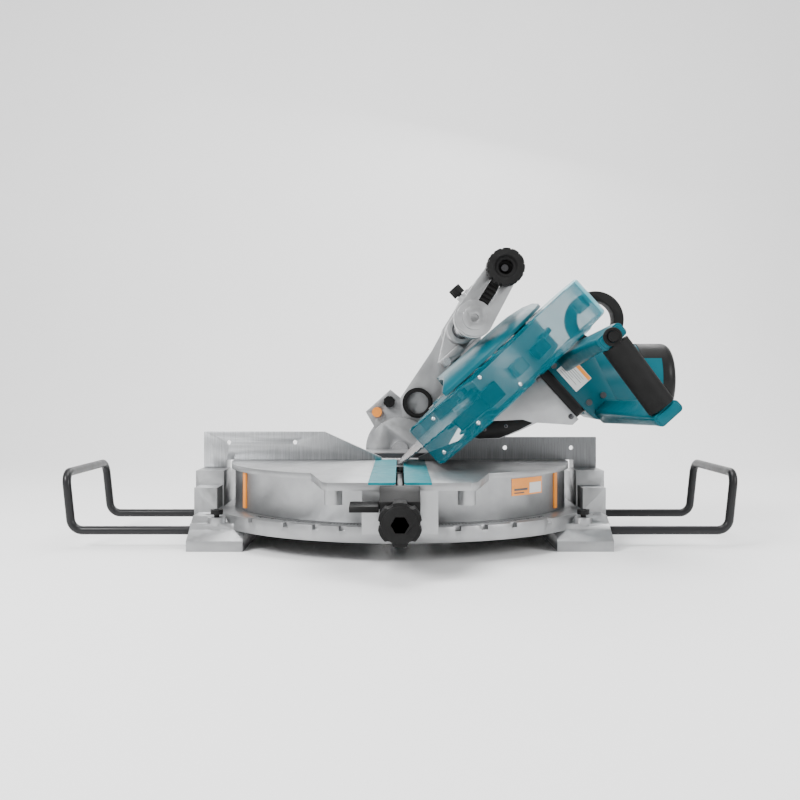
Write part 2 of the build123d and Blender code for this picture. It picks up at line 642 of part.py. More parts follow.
with BuildPart() as stop_bolt:
    disc(lean_upright(150), STOP_BOLT_AT, 4.0, 82)
    with BuildSketch(lean_upright(75)) as bolt_head:
        with Locations(STOP_BOLT_AT):
            RegularPolygon(7.5, 6)
    extrude(bolt_head.sketch, amount=7)
    with BuildSketch(lean_upright(87.5)) as lock_nut:
        with Locations(STOP_BOLT_AT):
            RegularPolygon(7.5, 6)
    extrude(lock_nut.sketch, amount=6)
write(stop_bolt, "stop_bolt")

# ================================================================ blade and its case
AXLE = (BLADE_Y, BLADE_T)
GEAR_LOW, GEAR_HIGH = 40.5, 50.0
PINION_TEETH, GEAR_TEETH = 20, 40
SPUR_R, SPINDLE_GEAR_R = 14.9, 30.0


def toothed(plane, centre, tip, root, teeth, depth):
    """A spur wheel with straight-sided teeth."""
    points = []
    for tooth in range(teeth):
        start = 2 * pi * tooth / teeth
        for share, radius in ((0.0, root), (0.28, root), (0.42, tip), (0.62, tip), (0.76, root)):
            angle = start + share * 2 * pi / teeth
            points.append((centre[0] + radius * cos(angle), centre[1] + radius * sin(angle)))
    prism(plane, points, depth)


with BuildPart() as blade:
    teeth = 60
    points = []
    for tooth in range(teeth):
        start = 2 * pi * tooth / teeth
        for share, radius in ((0.0, BLADE_R), (0.30, BLADE_R - 2.0), (0.62, BLADE_R - 9.5),
                              (0.86, BLADE_R - 9.0), (0.97, BLADE_R - 5.0)):
            angle = start + share * 2 * pi / teeth
            points.append((BLADE_Y + radius * cos(angle), BLADE_T + radius * sin(angle)))
    prism(lean_beside(-BLADE_THICK / 2), points, BLADE_THICK)
    disc(lean_beside(-5), AXLE, 12.7, 10, Mode.SUBTRACT)
    for slot in range(4):
        turn = radians(45 + 90 * slot)
        centre = (BLADE_Y + 118 * cos(turn), BLADE_T + 118 * sin(turn))
        capsule(lean_beside(-5), centre, (centre[0] + 14 * cos(turn), centre[1] + 14 * sin(turn)), 1.2, 10,
                Mode.SUBTRACT)
write(blade, "blade")

with BuildPart() as blade_flanges:
    tube(lean_beside(BLADE_THICK / 2), AXLE, 30.0, 12.7, 5.0)
    tube(lean_beside(-BLADE_THICK / 2 - 5), AXLE, 30.0, 12.7, 5.0)
write(blade_flanges, "blade_flanges")

with BuildPart() as arbor_bolt:
    disc(lean_beside(-11.5), AXLE, 16.0, 5.2)
    with BuildSketch(lean_beside(-20)) as bolt_head:
        with Locations(AXLE):
            RegularPolygon(9.0, 6)
    extrude(bolt_head.sketch, amount=8.5)
write(arbor_bolt, "arbor_bolt")

with BuildPart() as spindle:
    disc(lean_beside(-6.3), AXLE, 12.7, 20.3)
    disc(lean_beside(14), AXLE, 9.0, 37.5)
    toothed(lean_beside(GEAR_LOW), AXLE, SPINDLE_GEAR_R, SPINDLE_GEAR_R - 2.8, GEAR_TEETH,
            GEAR_HIGH - GEAR_LOW)
write(spindle, "spindle")

with BuildPart() as blade_case:
    sector(lean_beside(-CASE_HALF), CASE_R, 0, -20, 175, 2 * CASE_HALF)
    for low in (-CASE_HALF, CASE_HALF - 3):
        disc(lean_beside(low), AXLE, 35.0, 3)
    disc(lean_beside(GUARD_LEFT - 0.5), AXLE, 35.6, 8)
    # arm that carries the case on the hinge pin
    with BuildSketch(lean_beside(-46)) as arm:
        with Locations((PIVOT_Y, PIVOT_T)):
            Circle(19)
        with Locations((100, 226), (92, 206)):
            Circle(16)
        make_hull()
    extrude(arm.sketch, amount=54)
    disc(lean_beside(-CASE_HALF + 3), AXLE, CASE_R - 3, 2 * CASE_HALF - 6, Mode.SUBTRACT)
    disc(lean_beside(SPRING_LOW - 1), (PIVOT_Y, PIVOT_T), 19.0, SPRING_HIGH - SPRING_LOW + 2, Mode.SUBTRACT)
    disc(lean_beside(-60), (PIVOT_Y, PIVOT_T), PIVOT_R + RUNNING, 90, Mode.SUBTRACT)
    disc(lean_beside(-40), AXLE, 31.0, 15, Mode.SUBTRACT)
    disc(lean_beside(10), AXLE, 20.0, 20, Mode.SUBTRACT)
write(blade_case, "blade_case")

COVER_BOSSES = (48.0, 75.0, 100.0)

with BuildPart() as side_cover:
    outer = [(-36, 0), (-36, DISH_R), (-41, DISH_R), (-47, 176), (-53, 160), (-57, 138), (-58, 100), (-58, 0)]
    inner = [(-35, 0), (-35, 179), (-40, 179), (-45, 173), (-50.5, 158), (-54, 137), (-55, 100), (-55, 0)]
    for outline, mode in ((outer, Mode.ADD), (inner, Mode.SUBTRACT)):
        with BuildSketch(lean_upright(BLADE_Y)) as shell:
            with BuildLine():
                Polyline(*[(x, BLADE_T + r) for x, r in outline], close=True)
            make_face()
        revolve(shell.sketch, axis=Axis(leaned(0, BLADE_Y, BLADE_T), ACROSS), mode=mode)
    prism(lean_upright(300), [(-30, 119), (-43, 119), (-60, 140), (-80, 140), (-80, -60), (-30, -60)], 600,
          Mode.SUBTRACT)
    block(lean_flat(100), (-70, -12), (-30, 200), 37, Mode.SUBTRACT)
    # notch for the case's hinge arm
    with BuildSketch(lean_beside(-48)) as notch:
        with Locations((PIVOT_Y, PIVOT_T)):
            Circle(20)
        with Locations((100, 226), (92, 206)):
            Circle(17)
        make_hull()
    extrude(notch.sketch, amount=18, mode=Mode.SUBTRACT)
    for angle in COVER_BOSSES:
        turn = radians(angle)
        place = (BLADE_Y + 140 * cos(turn), BLADE_T + 140 * sin(turn))
        disc(lean_beside(-55.5), place, 8.0, 28.5)
write(side_cover, "side_cover")

with BuildPart() as lower_guard:
    NOSE, NOSE_R = (-135.0, 343.0), 40.0
    rest_start, rest_end = 113.0, 213.0
    depth = GUARD_RIGHT - GUARD_LEFT
    for shrink, low, high, mode in ((0.0, GUARD_LEFT, GUARD_RIGHT, Mode.ADD),
                                    (GUARD_WALL, GUARD_LEFT + GUARD_WALL, GUARD_RIGHT - GUARD_WALL,
                                     Mode.SUBTRACT)):
        spread = 0 if mode == Mode.ADD else 8
        sector(lean_beside(low), GUARD_R - shrink, 0, rest_start - spread, rest_end + spread, high - low, mode)
        with BuildSketch(lean_beside(low)) as nose:
            with Locations(NOSE):
                Circle(NOSE_R - shrink)
            for angle in (119.0, 134.0, 149.0):
                turn = radians(angle)
                with Locations((BLADE_Y + 150 * cos(turn), BLADE_T + 150 * sin(turn))):
                    Circle(GUARD_R - 150 - shrink)
            make_hull()
        extrude(nose.sketch, amount=high - low, mode=mode)
    for low in (GUARD_LEFT, GUARD_RIGHT - GUARD_WALL):
        disc(lean_beside(low), AXLE, 47.0, GUARD_WALL)
        disc(lean_beside(low - 1), AXLE, 36.0, GUARD_WALL + 2, Mode.SUBTRACT)
    disc(lean_beside(GUARD_LEFT + GUARD_WALL), AXLE, CASE_R + 1.5,
         depth - 2 * GUARD_WALL, Mode.SUBTRACT)
write(lower_guard, "lower_guard")

# ================================================================ gear housing and motor
with BuildPart() as gear_housing:
    shell = [(34, 104), (52, 115.6), (56, 121.5), (68, 135.5), (72, 139.5), (84, 172), (92, 199),
             (131, 237), (131, 250), (34, 250)]
    hollow = [(36.4, 110), (51, 116.7), (53, 122), (66, 139), (70, 143), (81, 174), (89, 201),
              (127.5, 239), (127.5, 251), (36.4, 251)]
    prism(lean_upright(12), shell, 114)
    prism(lean_upright(8), hollow, 106, Mode.SUBTRACT)
    disc(lean_beside(CASE_HALF), AXLE, 35.6, 7.2)
    disc(lean_beside(CASE_HALF), AXLE, 19.0, 12, Mode.SUBTRACT)
    for along_y in (-97, 7):
        prism(lean_upright(along_y + (0 if along_y < 0 else 1)), [(70, 246), (90, 246), (90, 250), (70, 250)], 1)
write(gear_housing, "gear_housing")

with BuildPart() as joint_ring:
    block(lean_flat(250), (34, -104), (128, 14), 16, corner=10)
    block(lean_flat(249), (36, -99), (124, 9), 18, Mode.SUBTRACT, corner=7)
write(joint_ring, "joint_ring")

TEAL_START, TEAL_END, CAP_END = 145.0, 230.0, 284.0
FRONT_BEARING, REAR_BEARING, BEARING_R = 108.0, 246.0, 19.0

# wall inside the motor housing that carries the front bearing
with BuildPart() as bulkhead:
    prism(lean_upright(12), [(35, 266.5), (129, 266.5), (162, 284), (148, 308), (54, 335), (42, 328)], 114)
    with BuildSketch(motor_plane(FRONT_BEARING + 2)) as wall:
        Circle(MOTOR_R - 2)
        Circle(BEARING_R, mode=Mode.SUBTRACT)
    extrude(wall.sketch, amount=5, mode=Mode.INTERSECT)

with BuildPart() as motor_housing:
    body_shell = [(34, 266), (130, 266), (150, 271), (167, 284), (153, 310), (54, 338), (40, 330)]
    prism(lean_upright(14), body_shell, 118)
    with BuildSketch(motor_plane(TEAL_START)) as barrel:
        Circle(MOTOR_R + 1)
    extrude(barrel.sketch, amount=TEAL_END - TEAL_START)
    body_hollow = [(38, 265), (126, 265), (149, 275), (161, 285), (149, 306), (56, 333), (44, 326)]
    prism(lean_upright(9), body_hollow, 108, Mode.SUBTRACT)
    with BuildSketch(motor_plane(TEAL_START - 40)) as bore:
        Circle(MOTOR_R - 3)
    extrude(bore.sketch, amount=TEAL_END - TEAL_START + 41, mode=Mode.SUBTRACT)
    add(bulkhead.part)
write(motor_housing, "motor_housing")

with BuildPart() as end_cap:
    with BuildSketch(motor_plane(TEAL_END)) as cap:
        Circle(MOTOR_R + 2)
    extrude(cap.sketch, amount=CAP_END - TEAL_END)
    fillet(end_cap.faces().sort_by(Axis(leaned(0, 0, 0), MOTOR_AXIS))[-1].edges(), 14)
    with BuildSketch(motor_plane(TEAL_END - 1)) as cap_hollow:
        Circle(MOTOR_R - 2)
    extrude(cap_hollow.sketch, amount=CAP_END - TEAL_END - 5, mode=Mode.SUBTRACT)
    with BuildSketch(motor_plane(REAR_BEARING + 2)) as seat:
        Circle(MOTOR_R - 1)
        Circle(BEARING_R, mode=Mode.SUBTRACT)
    extrude(seat.sketch, amount=6)
    with BuildSketch(motor_plane(TEAL_END + 17)) as vents:
        with PolarLocations(MOTOR_R, 24, start_angle=-75, angular_range=150):
            Rectangle(24, 3.2)
    extrude(vents.sketch, amount=22, mode=Mode.SUBTRACT)
write(end_cap, "end_cap")

with BuildPart() as cap_panel:
    with BuildSketch(motor_plane(TEAL_END + 3)) as panel:
        Circle(MOTOR_R + 4.2)
        Circle(MOTOR_R + 2.0, mode=Mode.SUBTRACT)
        with BuildLine():
            Polyline((0, 0), (-90, -60), (-90, 60), close=True)
        make_face(mode=Mode.INTERSECT)
    extrude(panel.sketch, amount=28)
write(cap_panel, "cap_panel")

with BuildPart() as stator:
    with BuildSketch(motor_plane(160)) as laminations:
        Circle(MOTOR_R - 3)
        Circle(28, mode=Mode.SUBTRACT)
    extrude(laminations.sketch, amount=56)
write(stator, "stator")

with BuildPart() as armature:
    small, large = 75.0, CONE
    with BuildSketch(motor_plane(small * cos(radians(PINION_ANGLE)))) as pinion:
        Circle(small * sin(radians(PINION_ANGLE)) - 0.25)
    extrude(pinion.sketch, amount=(large - small) * cos(radians(PINION_ANGLE)), taper=-PINION_ANGLE)
    for start, radius, length in ((80.0, 7.0, 192.0), (164.0, 27.2, 48.0), (218.0, 15.0, 20.0),
                                  (138.0, 38.0, 12.0)):
        with BuildSketch(motor_plane(start)) as step:
            Circle(radius)
        extrude(step.sketch, amount=length)
write(armature, "armature")

with BuildPart() as countershaft_gear:
    toothed(lean_beside(GEAR_LOW), (BLADE_Y, GEAR_T), SPUR_R, SPUR_R - 2.4, PINION_TEETH,
            GEAR_HIGH - GEAR_LOW)
    disc(lean_beside(40), (BLADE_Y, GEAR_T), 8.0, 40)
    wheel_small, wheel_large = 72.0, CONE
    profile = [(GEAR_APEX + cone * cos(radians(WHEEL_ANGLE)), cone * sin(radians(WHEEL_ANGLE)) - 0.25)
               for cone in (wheel_small, wheel_large)]
    with BuildSketch(lean_upright(BLADE_Y)) as wheel:
        with BuildLine():
            Polyline((profile[0][0], GEAR_T), (profile[0][0], GEAR_T + profile[0][1]),
                     (profile[1][0], GEAR_T + profile[1][1]), (profile[1][0] + 3, GEAR_T + 48),
                     (profile[1][0] + 3, GEAR_T), close=True)
        make_face()
    revolve(wheel.sketch, axis=Axis(leaned(0, BLADE_Y, GEAR_T), ACROSS))
write(countershaft_gear, "countershaft_gear")

with BuildPart() as bearings:
    tube(lean_beside(CASE_HALF), AXLE, 19.0, 9.0 + RUNNING, 12)
    tube(lean_beside(70), (BLADE_Y, GEAR_T), 13.0, 8.0 + RUNNING, 10)
    for start in (REAR_BEARING, FRONT_BEARING):
        with BuildSketch(motor_plane(start)) as ring:
            Circle(BEARING_R)
            Circle(7.0 + RUNNING, mode=Mode.SUBTRACT)
        extrude(ring.sketch, amount=12)
write(bearings, "bearings")

# ================================================================ handles and controls
BAR_Y, BAR_MIDDLE = -300.0, (111.0, 325.0)
BAR_DROP = 5.5           # slope of the grip bar towards the motor's end, degrees
BAR_R, BAR_HALF = 19.5, 54.0
CORE_R = 10.8
BAR_DIR = ACROSS * cos(radians(BAR_DROP)) - UP * sin(radians(BAR_DROP))


def bar_plane(along):
    """Plane square to the grip bar, drawn in (y, up), at a distance from the bar's middle."""
    origin = leaned(BAR_MIDDLE[0], BAR_Y, BAR_MIDDLE[1]) + BAR_DIR * along
    return Plane(origin=origin, x_dir=(0, 1, 0), z_dir=BAR_DIR)


def bar_point(along):
    """The bar's centre in (x, t) of the leaned frame."""
    return (BAR_MIDDLE[0] + along * cos(radians(BAR_DROP)), BAR_MIDDLE[1] - along * sin(radians(BAR_DROP)))


LOCK_OFF_AT = bar_point(-BAR_HALF - 9)
FRAME_ROOT_Y = -104.0

with BuildPart() as handle_frame:
    left_end, right_end = bar_point(-BAR_HALF - 9), bar_point(BAR_HALF + 8)
    left_root, right_root = (52.0, 304.0), (150.0, 288.0)
    for near, near_size, far, far_size in ((left_root, (28, 40), left_end, (20, 40)),
                                           (right_root, (26, 30), right_end, (18, 40))):
        with BuildSketch(lean_upright(FRAME_ROOT_Y)) as root_end:
            with Locations(near):
                RectangleRounded(*near_size, 6)
        with BuildSketch(lean_upright(BAR_Y + 17)) as bar_end:
            with Locations(far):
                RectangleRounded(*far_size, 6)
        loft([root_end.sketch.face(), bar_end.sketch.face()])
        with BuildSketch(lean_upright(BAR_Y + 17)) as nose:
            with Locations(far):
                RectangleRounded(*far_size, 6)
        extrude(nose.sketch, amount=30)
        with BuildSketch(lean_upright(BAR_Y - 13)) as tip:
            with Locations(far):
                RectangleRounded(far_size[0] - 5, far_size[1] - 6, 5)
        extrude(tip.sketch, amount=3)
    disc(bar_plane(-BAR_HALF - 2), (0, 0), CORE_R, 2 * BAR_HALF + 4)
    disc(lean_upright(BAR_Y - 5), LOCK_OFF_AT, 7.0 + RUNNING, 18, Mode.SUBTRACT)
    disc(bar_plane(-40), (0, 0), CORE_R - 1.4, 80, Mode.SUBTRACT)
    block(bar_plane(-28), (5, -9), (24, 9), 56, Mode.SUBTRACT)
write(handle_frame, "handle_frame")

with BuildPart() as grip_sleeve:
    tube(bar_plane(-BAR_HALF + 2.5), (0, 0), BAR_R, CORE_R, 2 * BAR_HALF - 5)
    block(bar_plane(-28), (4, -9), (24, 9), 56, Mode.SUBTRACT)
write(grip_sleeve, "grip_sleeve")

with BuildPart() as trigger:
    block(bar_plane(-26), (11, -7.5), (25, 7.5), 52, corner=3)
write(trigger, "trigger")

with BuildPart() as lock_off_button:
    disc(lean_upright(BAR_Y - 10), LOCK_OFF_AT, 7.0, 14)
write(lock_off_button, "lock_off_button")

with BuildPart() as switch:
    block(bar_plane(-22), (-7, -5), (4, 5), 44)
write(switch, "switch")

CARRY_AT = (42.0, 388.0)

with BuildPart() as carry_handle:
    with BuildSketch(lean_upright(16)) as arch:
        with Locations(CARRY_AT):
            Circle(46)
            Circle(30, mode=Mode.SUBTRACT)
    extrude(arch.sketch, amount=30)
    block(lean_upright(8), (38, 326), (60, 352), 18)
write(carry_handle, "carry_handle")

SCREWS_AT = ((122.0, 278.5), (128.0, 302.0), (44.0, 276.0))

with BuildPart() as head_screws:
    for x, t in SCREWS_AT:
        disc(lean_upright(FRAME_ROOT_Y), (x, t), 4.6, 2.4)
write(head_screws, "head_screws")
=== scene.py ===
"""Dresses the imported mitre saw: finishes for every casting and cover, and the pieces that are
moulded, ribbed, printed or fastened on. Lengths are in metres, in the part's own frame."""

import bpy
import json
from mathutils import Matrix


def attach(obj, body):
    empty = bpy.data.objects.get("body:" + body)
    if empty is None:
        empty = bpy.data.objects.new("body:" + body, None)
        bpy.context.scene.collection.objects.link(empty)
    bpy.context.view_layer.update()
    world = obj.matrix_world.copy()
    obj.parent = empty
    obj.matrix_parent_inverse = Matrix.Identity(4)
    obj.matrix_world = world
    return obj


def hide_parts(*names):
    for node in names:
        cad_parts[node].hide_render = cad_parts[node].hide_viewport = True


bl_info = {
    "name": "Mitre Saw Dressing",
    "version": (1, 0, 0),
    "blender": (4, 5, 0),
    "location": "View3D > Sidebar > Mitre Saw",
    "description": "Finishes and moulded details for a sliding compound mitre saw",
    "category": "Object",
}

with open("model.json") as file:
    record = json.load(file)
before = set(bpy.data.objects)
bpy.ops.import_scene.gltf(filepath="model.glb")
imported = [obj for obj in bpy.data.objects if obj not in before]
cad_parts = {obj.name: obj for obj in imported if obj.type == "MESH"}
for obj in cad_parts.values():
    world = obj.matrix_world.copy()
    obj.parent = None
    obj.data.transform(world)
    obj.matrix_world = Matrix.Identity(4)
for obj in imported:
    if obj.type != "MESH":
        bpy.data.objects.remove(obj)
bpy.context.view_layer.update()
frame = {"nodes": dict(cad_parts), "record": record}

import json
from math import asin, cos, hypot, pi, radians, sin

import bmesh
import bpy
from bpy.props import FloatProperty, FloatVectorProperty, IntProperty, PointerProperty
from mathutils import Matrix, Vector

MM = 0.001
TABLE = 0.116
LEAN = radians(48.0)
ACROSS = Vector((cos(LEAN), 0.0, -sin(LEAN)))
UP = Vector((sin(LEAN), 0.0, cos(LEAN)))
BACK = Vector((0.0, 1.0, 0.0))
BLADE_AT = (-45.0, 147.0)


def leaned(x, y, t):
    """A point of the leaned head, in millimetres across, back and up the blade."""
    return Vector((0.0, y * MM, TABLE)) + ACROSS * (x * MM) + UP * (t * MM)


def axes_matrix(origin, x_axis, y_axis, z_axis):
    """Places a piece drawn round its own origin along three given axes."""
    turn = Matrix((x_axis, y_axis, z_axis)).transposed()
    return Matrix.Translation(origin) @ turn.to_4x4()


def head_matrix(x, y, t):
    """Places a piece drawn with x across, y back and z up the blade."""
    return axes_matrix(leaned(x, y, t), ACROSS, BACK, UP)


def facing_front(origin, x_axis=Vector((1.0, 0.0, 0.0))):
    """Places a piece whose z axis should point to the front."""
    front = -BACK
    return axes_matrix(origin, x_axis, front.cross(x_axis), front)


# ---------------------------------------------------------------- settings
class SawColours(bpy.types.PropertyGroup):
    housing: FloatVectorProperty(name="Housing", description="Moulded housing colour", subtype="COLOR",
                                 size=3, default=(0.0, 0.075, 0.100), min=0.0, max=1.0)
    casting: FloatVectorProperty(name="Casting", description="Clear-coated casting colour", subtype="COLOR",
                                 size=3, default=(0.33, 0.335, 0.34), min=0.0, max=1.0)
    black: FloatVectorProperty(name="Black mouldings", description="Nylon and rubber colour",
                               subtype="COLOR", size=3, default=(0.006, 0.006, 0.006), min=0.0, max=1.0)
    orange: FloatVectorProperty(name="Signal orange", description="Buttons, strips and label bands",
                                subtype="COLOR", size=3, default=(0.80, 0.27, 0.04), min=0.0, max=1.0)
    guard: FloatVectorProperty(name="Guard tint", description="Clear guard colour", subtype="COLOR",
                               size=3, default=(0.0, 0.15, 0.20), min=0.0, max=1.0)


class SawStage(bpy.types.PropertyGroup):
    camera_distance: FloatProperty(name="Camera distance", description="From the fence face to the camera",
                                   default=1.6, min=0.5, unit="LENGTH")
    camera_height: FloatProperty(name="Camera height", description="Above the bench", default=0.2384,
                                 min=0.0, unit="LENGTH")
    lens: FloatProperty(name="Lens", description="Focal length", default=44.1, min=10.0, unit="CAMERA")
    shift: FloatProperty(name="Vertical shift", description="Keeps the horizon a little above the middle",
                         default=-0.01875)


class SawDetails(bpy.types.PropertyGroup):
    knob_ribs: IntProperty(name="Knob ribs", description="Ribs round the bevel lock knob", default=26, min=6)
    guard_wall: FloatProperty(name="Guard wall", description="Thickness of the clear guard",
                              default=0.0024, min=0.001, unit="LENGTH")


SETTINGS = {"saw_colours": SawColours, "saw_stage": SawStage, "saw_details": SawDetails}


# ---------------------------------------------------------------- materials
def shader(name, colour, roughness, metallic=0.0, coat=0.0):
    material = bpy.data.materials.new(name)
    material.use_nodes = True
    surface = material.node_tree.nodes["Principled BSDF"]
    surface.inputs["Base Color"].default_value = (*colour, 1.0)
    surface.inputs["Roughness"].default_value = roughness
    surface.inputs["Metallic"].default_value = metallic
    surface.inputs["Coat Weight"].default_value = coat
    surface.inputs["Coat Roughness"].default_value = 0.18
    if not metallic:
        surface.inputs["Specular IOR Level"].default_value = 0.15
    return material


def object_noise(material, scale, stretch=(1.0, 1.0, 1.0), detail=4.0, turn=0.0):
    """Noise on Object coordinates, stretched and turned to follow a machining direction."""
    nodes, links = material.node_tree.nodes, material.node_tree.links
    place = nodes.new("ShaderNodeTexCoord")
    mapping = nodes.new("ShaderNodeMapping")
    mapping.inputs["Scale"].default_value = stretch
    mapping.inputs["Rotation"].default_value = (0.0, turn, 0.0)
    noise = nodes.new("ShaderNodeTexNoise")
    noise.inputs["Scale"].default_value = scale
    noise.inputs["Detail"].default_value = detail
    links.new(place.outputs["Object"], mapping.inputs["Vector"])
    links.new(mapping.outputs["Vector"], noise.inputs["Vector"])
    return noise.outputs["Fac"]


def ramp(material, factor, low, high, start=0.35, end=0.65):
    nodes, links = material.node_tree.nodes, material.node_tree.links
    blend = nodes.new("ShaderNodeValToRGB")
    blend.color_ramp.elements[0].position = start
    blend.color_ramp.elements[1].position = end
    blend.color_ramp.elements[0].color = low
    blend.color_ramp.elements[1].color = high
    links.new(factor, blend.inputs["Fac"])
    return blend.outputs["Color"]


def vary_colour(material, factor, colour, spread, start=0.3, end=0.7):
    low = (*[max(0.0, c * (1 - spread)) for c in colour], 1.0)
    high = (*[min(1.0, c * (1 + spread)) for c in colour], 1.0)
    surface = material.node_tree.nodes["Principled BSDF"]
    material.node_tree.links.new(ramp(material, factor, low, high, start, end), surface.inputs["Base Color"])


def vary_roughness(material, factor, low, high):
    surface = material.node_tree.nodes["Principled BSDF"]
    material.node_tree.links.new(ramp(material, factor, (low,) * 3 + (1,), (high,) * 3 + (1,), 0.25, 0.75),
                                 surface.inputs["Roughness"])


def bump(material, factor, strength, distance):
    nodes, links = material.node_tree.nodes, material.node_tree.links
    relief = nodes.new("ShaderNodeBump")
    relief.inputs["Strength"].default_value = strength
    relief.inputs["Distance"].default_value = distance
    links.new(factor, relief.inputs["Height"])
    links.new(relief.outputs["Normal"], nodes["Principled BSDF"].inputs["Normal"])


def casting(colours, name="cast_aluminium", shade=1.0):
    """Blasted casting under clear coat: sand grain, soft mottling, faint sparkle."""
    colour = [c * shade for c in colours.casting]
    material = shader(name, colour, 0.36, 0.9, coat=0.1)
    vary_colour(material, object_noise(material, 26.0, detail=6.0), colour, 0.10)
    vary_roughness(material, object_noise(material, 140.0), 0.30, 0.46)
    bump(material, object_noise(material, 900.0, detail=3.0), 0.16, 0.0004)
    return material


def machined(name, colour, turn, streak=(60.0, 60.0, 1.5)):
    """Ground metal with streaks along one direction."""
    material = shader(name, colour, 0.3, 0.85)
    streaks = object_noise(material, 14.0, streak, 8.0, turn)
    vary_colour(material, streaks, colour, 0.22)
    vary_roughness(material, object_noise(material, 40.0, streak, 5.0, turn), 0.24, 0.44)
    bump(material, streaks, 0.12, 0.0002)
    return material


def turned(name, colour, roughness=0.25, scale=1.0):
    """Ground round bar, nut or screw."""
    material = shader(name, colour, roughness, 0.95)
    lines = object_noise(material, 60.0 * scale, (1.0, 30.0, 1.0), 3.0)
    vary_colour(material, lines, colour, 0.08)
    bump(material, lines, 0.06, 0.0002)
    return material


def moulded(name, colour, roughness=0.38, coat=0.12, grain=1600.0, relief=0.2):
    """Glass-filled nylon with spark-eroded texture and slight colour drift."""
    material = shader(name, colour, roughness, 0.0, coat)
    vary_colour(material, object_noise(material, 18.0, detail=3.0), colour, 0.07)
    vary_roughness(material, object_noise(material, 60.0, detail=4.0), roughness - 0.06, roughness + 0.08)
    bump(material, object_noise(material, grain, detail=2.0), relief, 0.0003)
    return material


def rubber(name, colour):
    material = shader(name, colour, 0.62, 0.0)
    vary_colour(material, object_noise(material, 50.0), colour, 0.25)
    bump(material, object_noise(material, 1100.0, detail=3.0), 0.4, 0.0004)
    return material


def clear_plastic(name, tint, alpha_face, alpha_edge, roughness=0.06):
    """Tinted polycarbonate: nearly clear face on, saturated where it's seen edge on."""
    material = shader(name, tint, roughness, 0.0, coat=0.08)
    nodes, links = material.node_tree.nodes, material.node_tree.links
    surface = nodes["Principled BSDF"]
    facing = nodes.new("ShaderNodeLayerWeight")
    facing.inputs["Blend"].default_value = 0.35
    spread = nodes.new("ShaderNodeMapRange")
    spread.inputs["To Min"].default_value = alpha_face
    spread.inputs["To Max"].default_value = alpha_edge
    links.new(facing.outputs["Facing"], spread.inputs["Value"])
    links.new(spread.outputs["Result"], surface.inputs["Alpha"])
    vary_roughness(material, object_noise(material, 30.0), roughness, roughness + 0.08)
    return material


def blade_steel(name):
    """Saw plate with rings of grinding marks round the arbor."""
    material = shader(name, (0.42, 0.42, 0.43), 0.26, 0.95)
    nodes, links = material.node_tree.nodes, material.node_tree.links
    place = nodes.new("ShaderNodeTexCoord")
    middle = nodes.new("ShaderNodeMapping")
    middle.inputs["Location"].default_value = -leaned(0.0, *BLADE_AT)
    rings = nodes.new("ShaderNodeTexWave")
    rings.wave_type = "RINGS"
    rings.rings_direction = "SPHERICAL"
    rings.inputs["Scale"].default_value = 300.0
    rings.inputs["Distortion"].default_value = 1.5
    links.new(place.outputs["Object"], middle.inputs["Vector"])
    links.new(middle.outputs["Vector"], rings.inputs["Vector"])
    vary_colour(material, rings.outputs["Fac"], (0.40, 0.40, 0.41), 0.12, 0.1, 0.9)
    bump(material, rings.outputs["Fac"], 0.08, 0.0001)
    return material


def make_materials(colours):
    black = tuple(colours.black)
    return {
        "cast_aluminium": casting(colours),
        "machined_aluminium": machined("machined_aluminium", (0.46, 0.47, 0.48), 0.0),
        "fence_dark": machined("fence_dark", (0.17, 0.175, 0.18), 0.0),
        "dark_steel": turned("dark_steel", (0.09, 0.09, 0.095), 0.35),
        "bright_steel": turned("bright_steel", (0.62, 0.62, 0.63)),
        "black_rod": moulded("black_rod", (0.012, 0.012, 0.013), 0.36, 0.2, 700.0, 0.12),
        "teal_plastic": moulded("teal_plastic", tuple(colours.housing), 0.34, 0.06),
        "clear_plastic": clear_plastic("clear_plastic", tuple(colours.guard), 0.30, 0.97),
        # paler, rougher teal: painted reflection of the white band along the guard's nose top and left wall
        # edge
        "painted_reflection_plastic": clear_plastic("painted_reflection_plastic", (0.10, 0.42, 0.50), 0.30, 0.85, 0.22),
        "kerf_plastic": moulded("kerf_plastic", (0.0, 0.16, 0.19), 0.45, 0.03, 900.0),
        "black_plastic": moulded("black_plastic", black, 0.42, 0.05),
        "black_rubber": rubber("black_rubber", black),
        "orange_plastic": moulded("orange_plastic", tuple(colours.orange), 0.4, 0.1),
        "blade_steel": blade_steel("blade_steel"),
        "copper_core": turned("copper_core", (0.34, 0.20, 0.12), 0.4),
        "bronze": turned("bronze", (0.10, 0.085, 0.06), 0.4),
        "label_white": moulded("label_white", (0.62, 0.63, 0.62), 0.32, 0.3, 300.0, 0.03),
        "label_orange": moulded("label_orange", (0.85, 0.30, 0.05), 0.32, 0.3, 300.0, 0.03),
        "label_ink": moulded("label_ink", (0.10, 0.10, 0.10), 0.4, 0.1, 300.0, 0.03),
        "scale_mark": moulded("scale_mark", (0.05, 0.05, 0.05), 0.5, 0.0, 400.0, 0.05),
        "carbide": turned("carbide", (0.30, 0.30, 0.31), 0.3),
    }


MATERIALS = {}


# ---------------------------------------------------------------- mesh helpers
def new_piece(name, mesh, body, finish, smooth=35.0):
    """Adds a finished mesh to the scene, shades it and lets it ride on a body."""
    piece = bpy.data.objects.new(name, mesh)
    bpy.context.scene.collection.objects.link(piece)
    if finish:
        mesh.materials.clear()
        mesh.materials.append(MATERIALS[finish])
    mesh.polygons.foreach_set("use_smooth", [True] * len(mesh.polygons))
    mesh.set_sharp_from_angle(angle=radians(smooth))
    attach(piece, body)
    return piece


def mesh_from(bm, name, matrix=None):
    bmesh.ops.recalc_face_normals(bm, faces=bm.faces)
    mesh = bpy.data.meshes.new(name)
    bm.to_mesh(mesh)
    bm.free()
    if matrix is not None:
        mesh.transform(matrix)
    return mesh


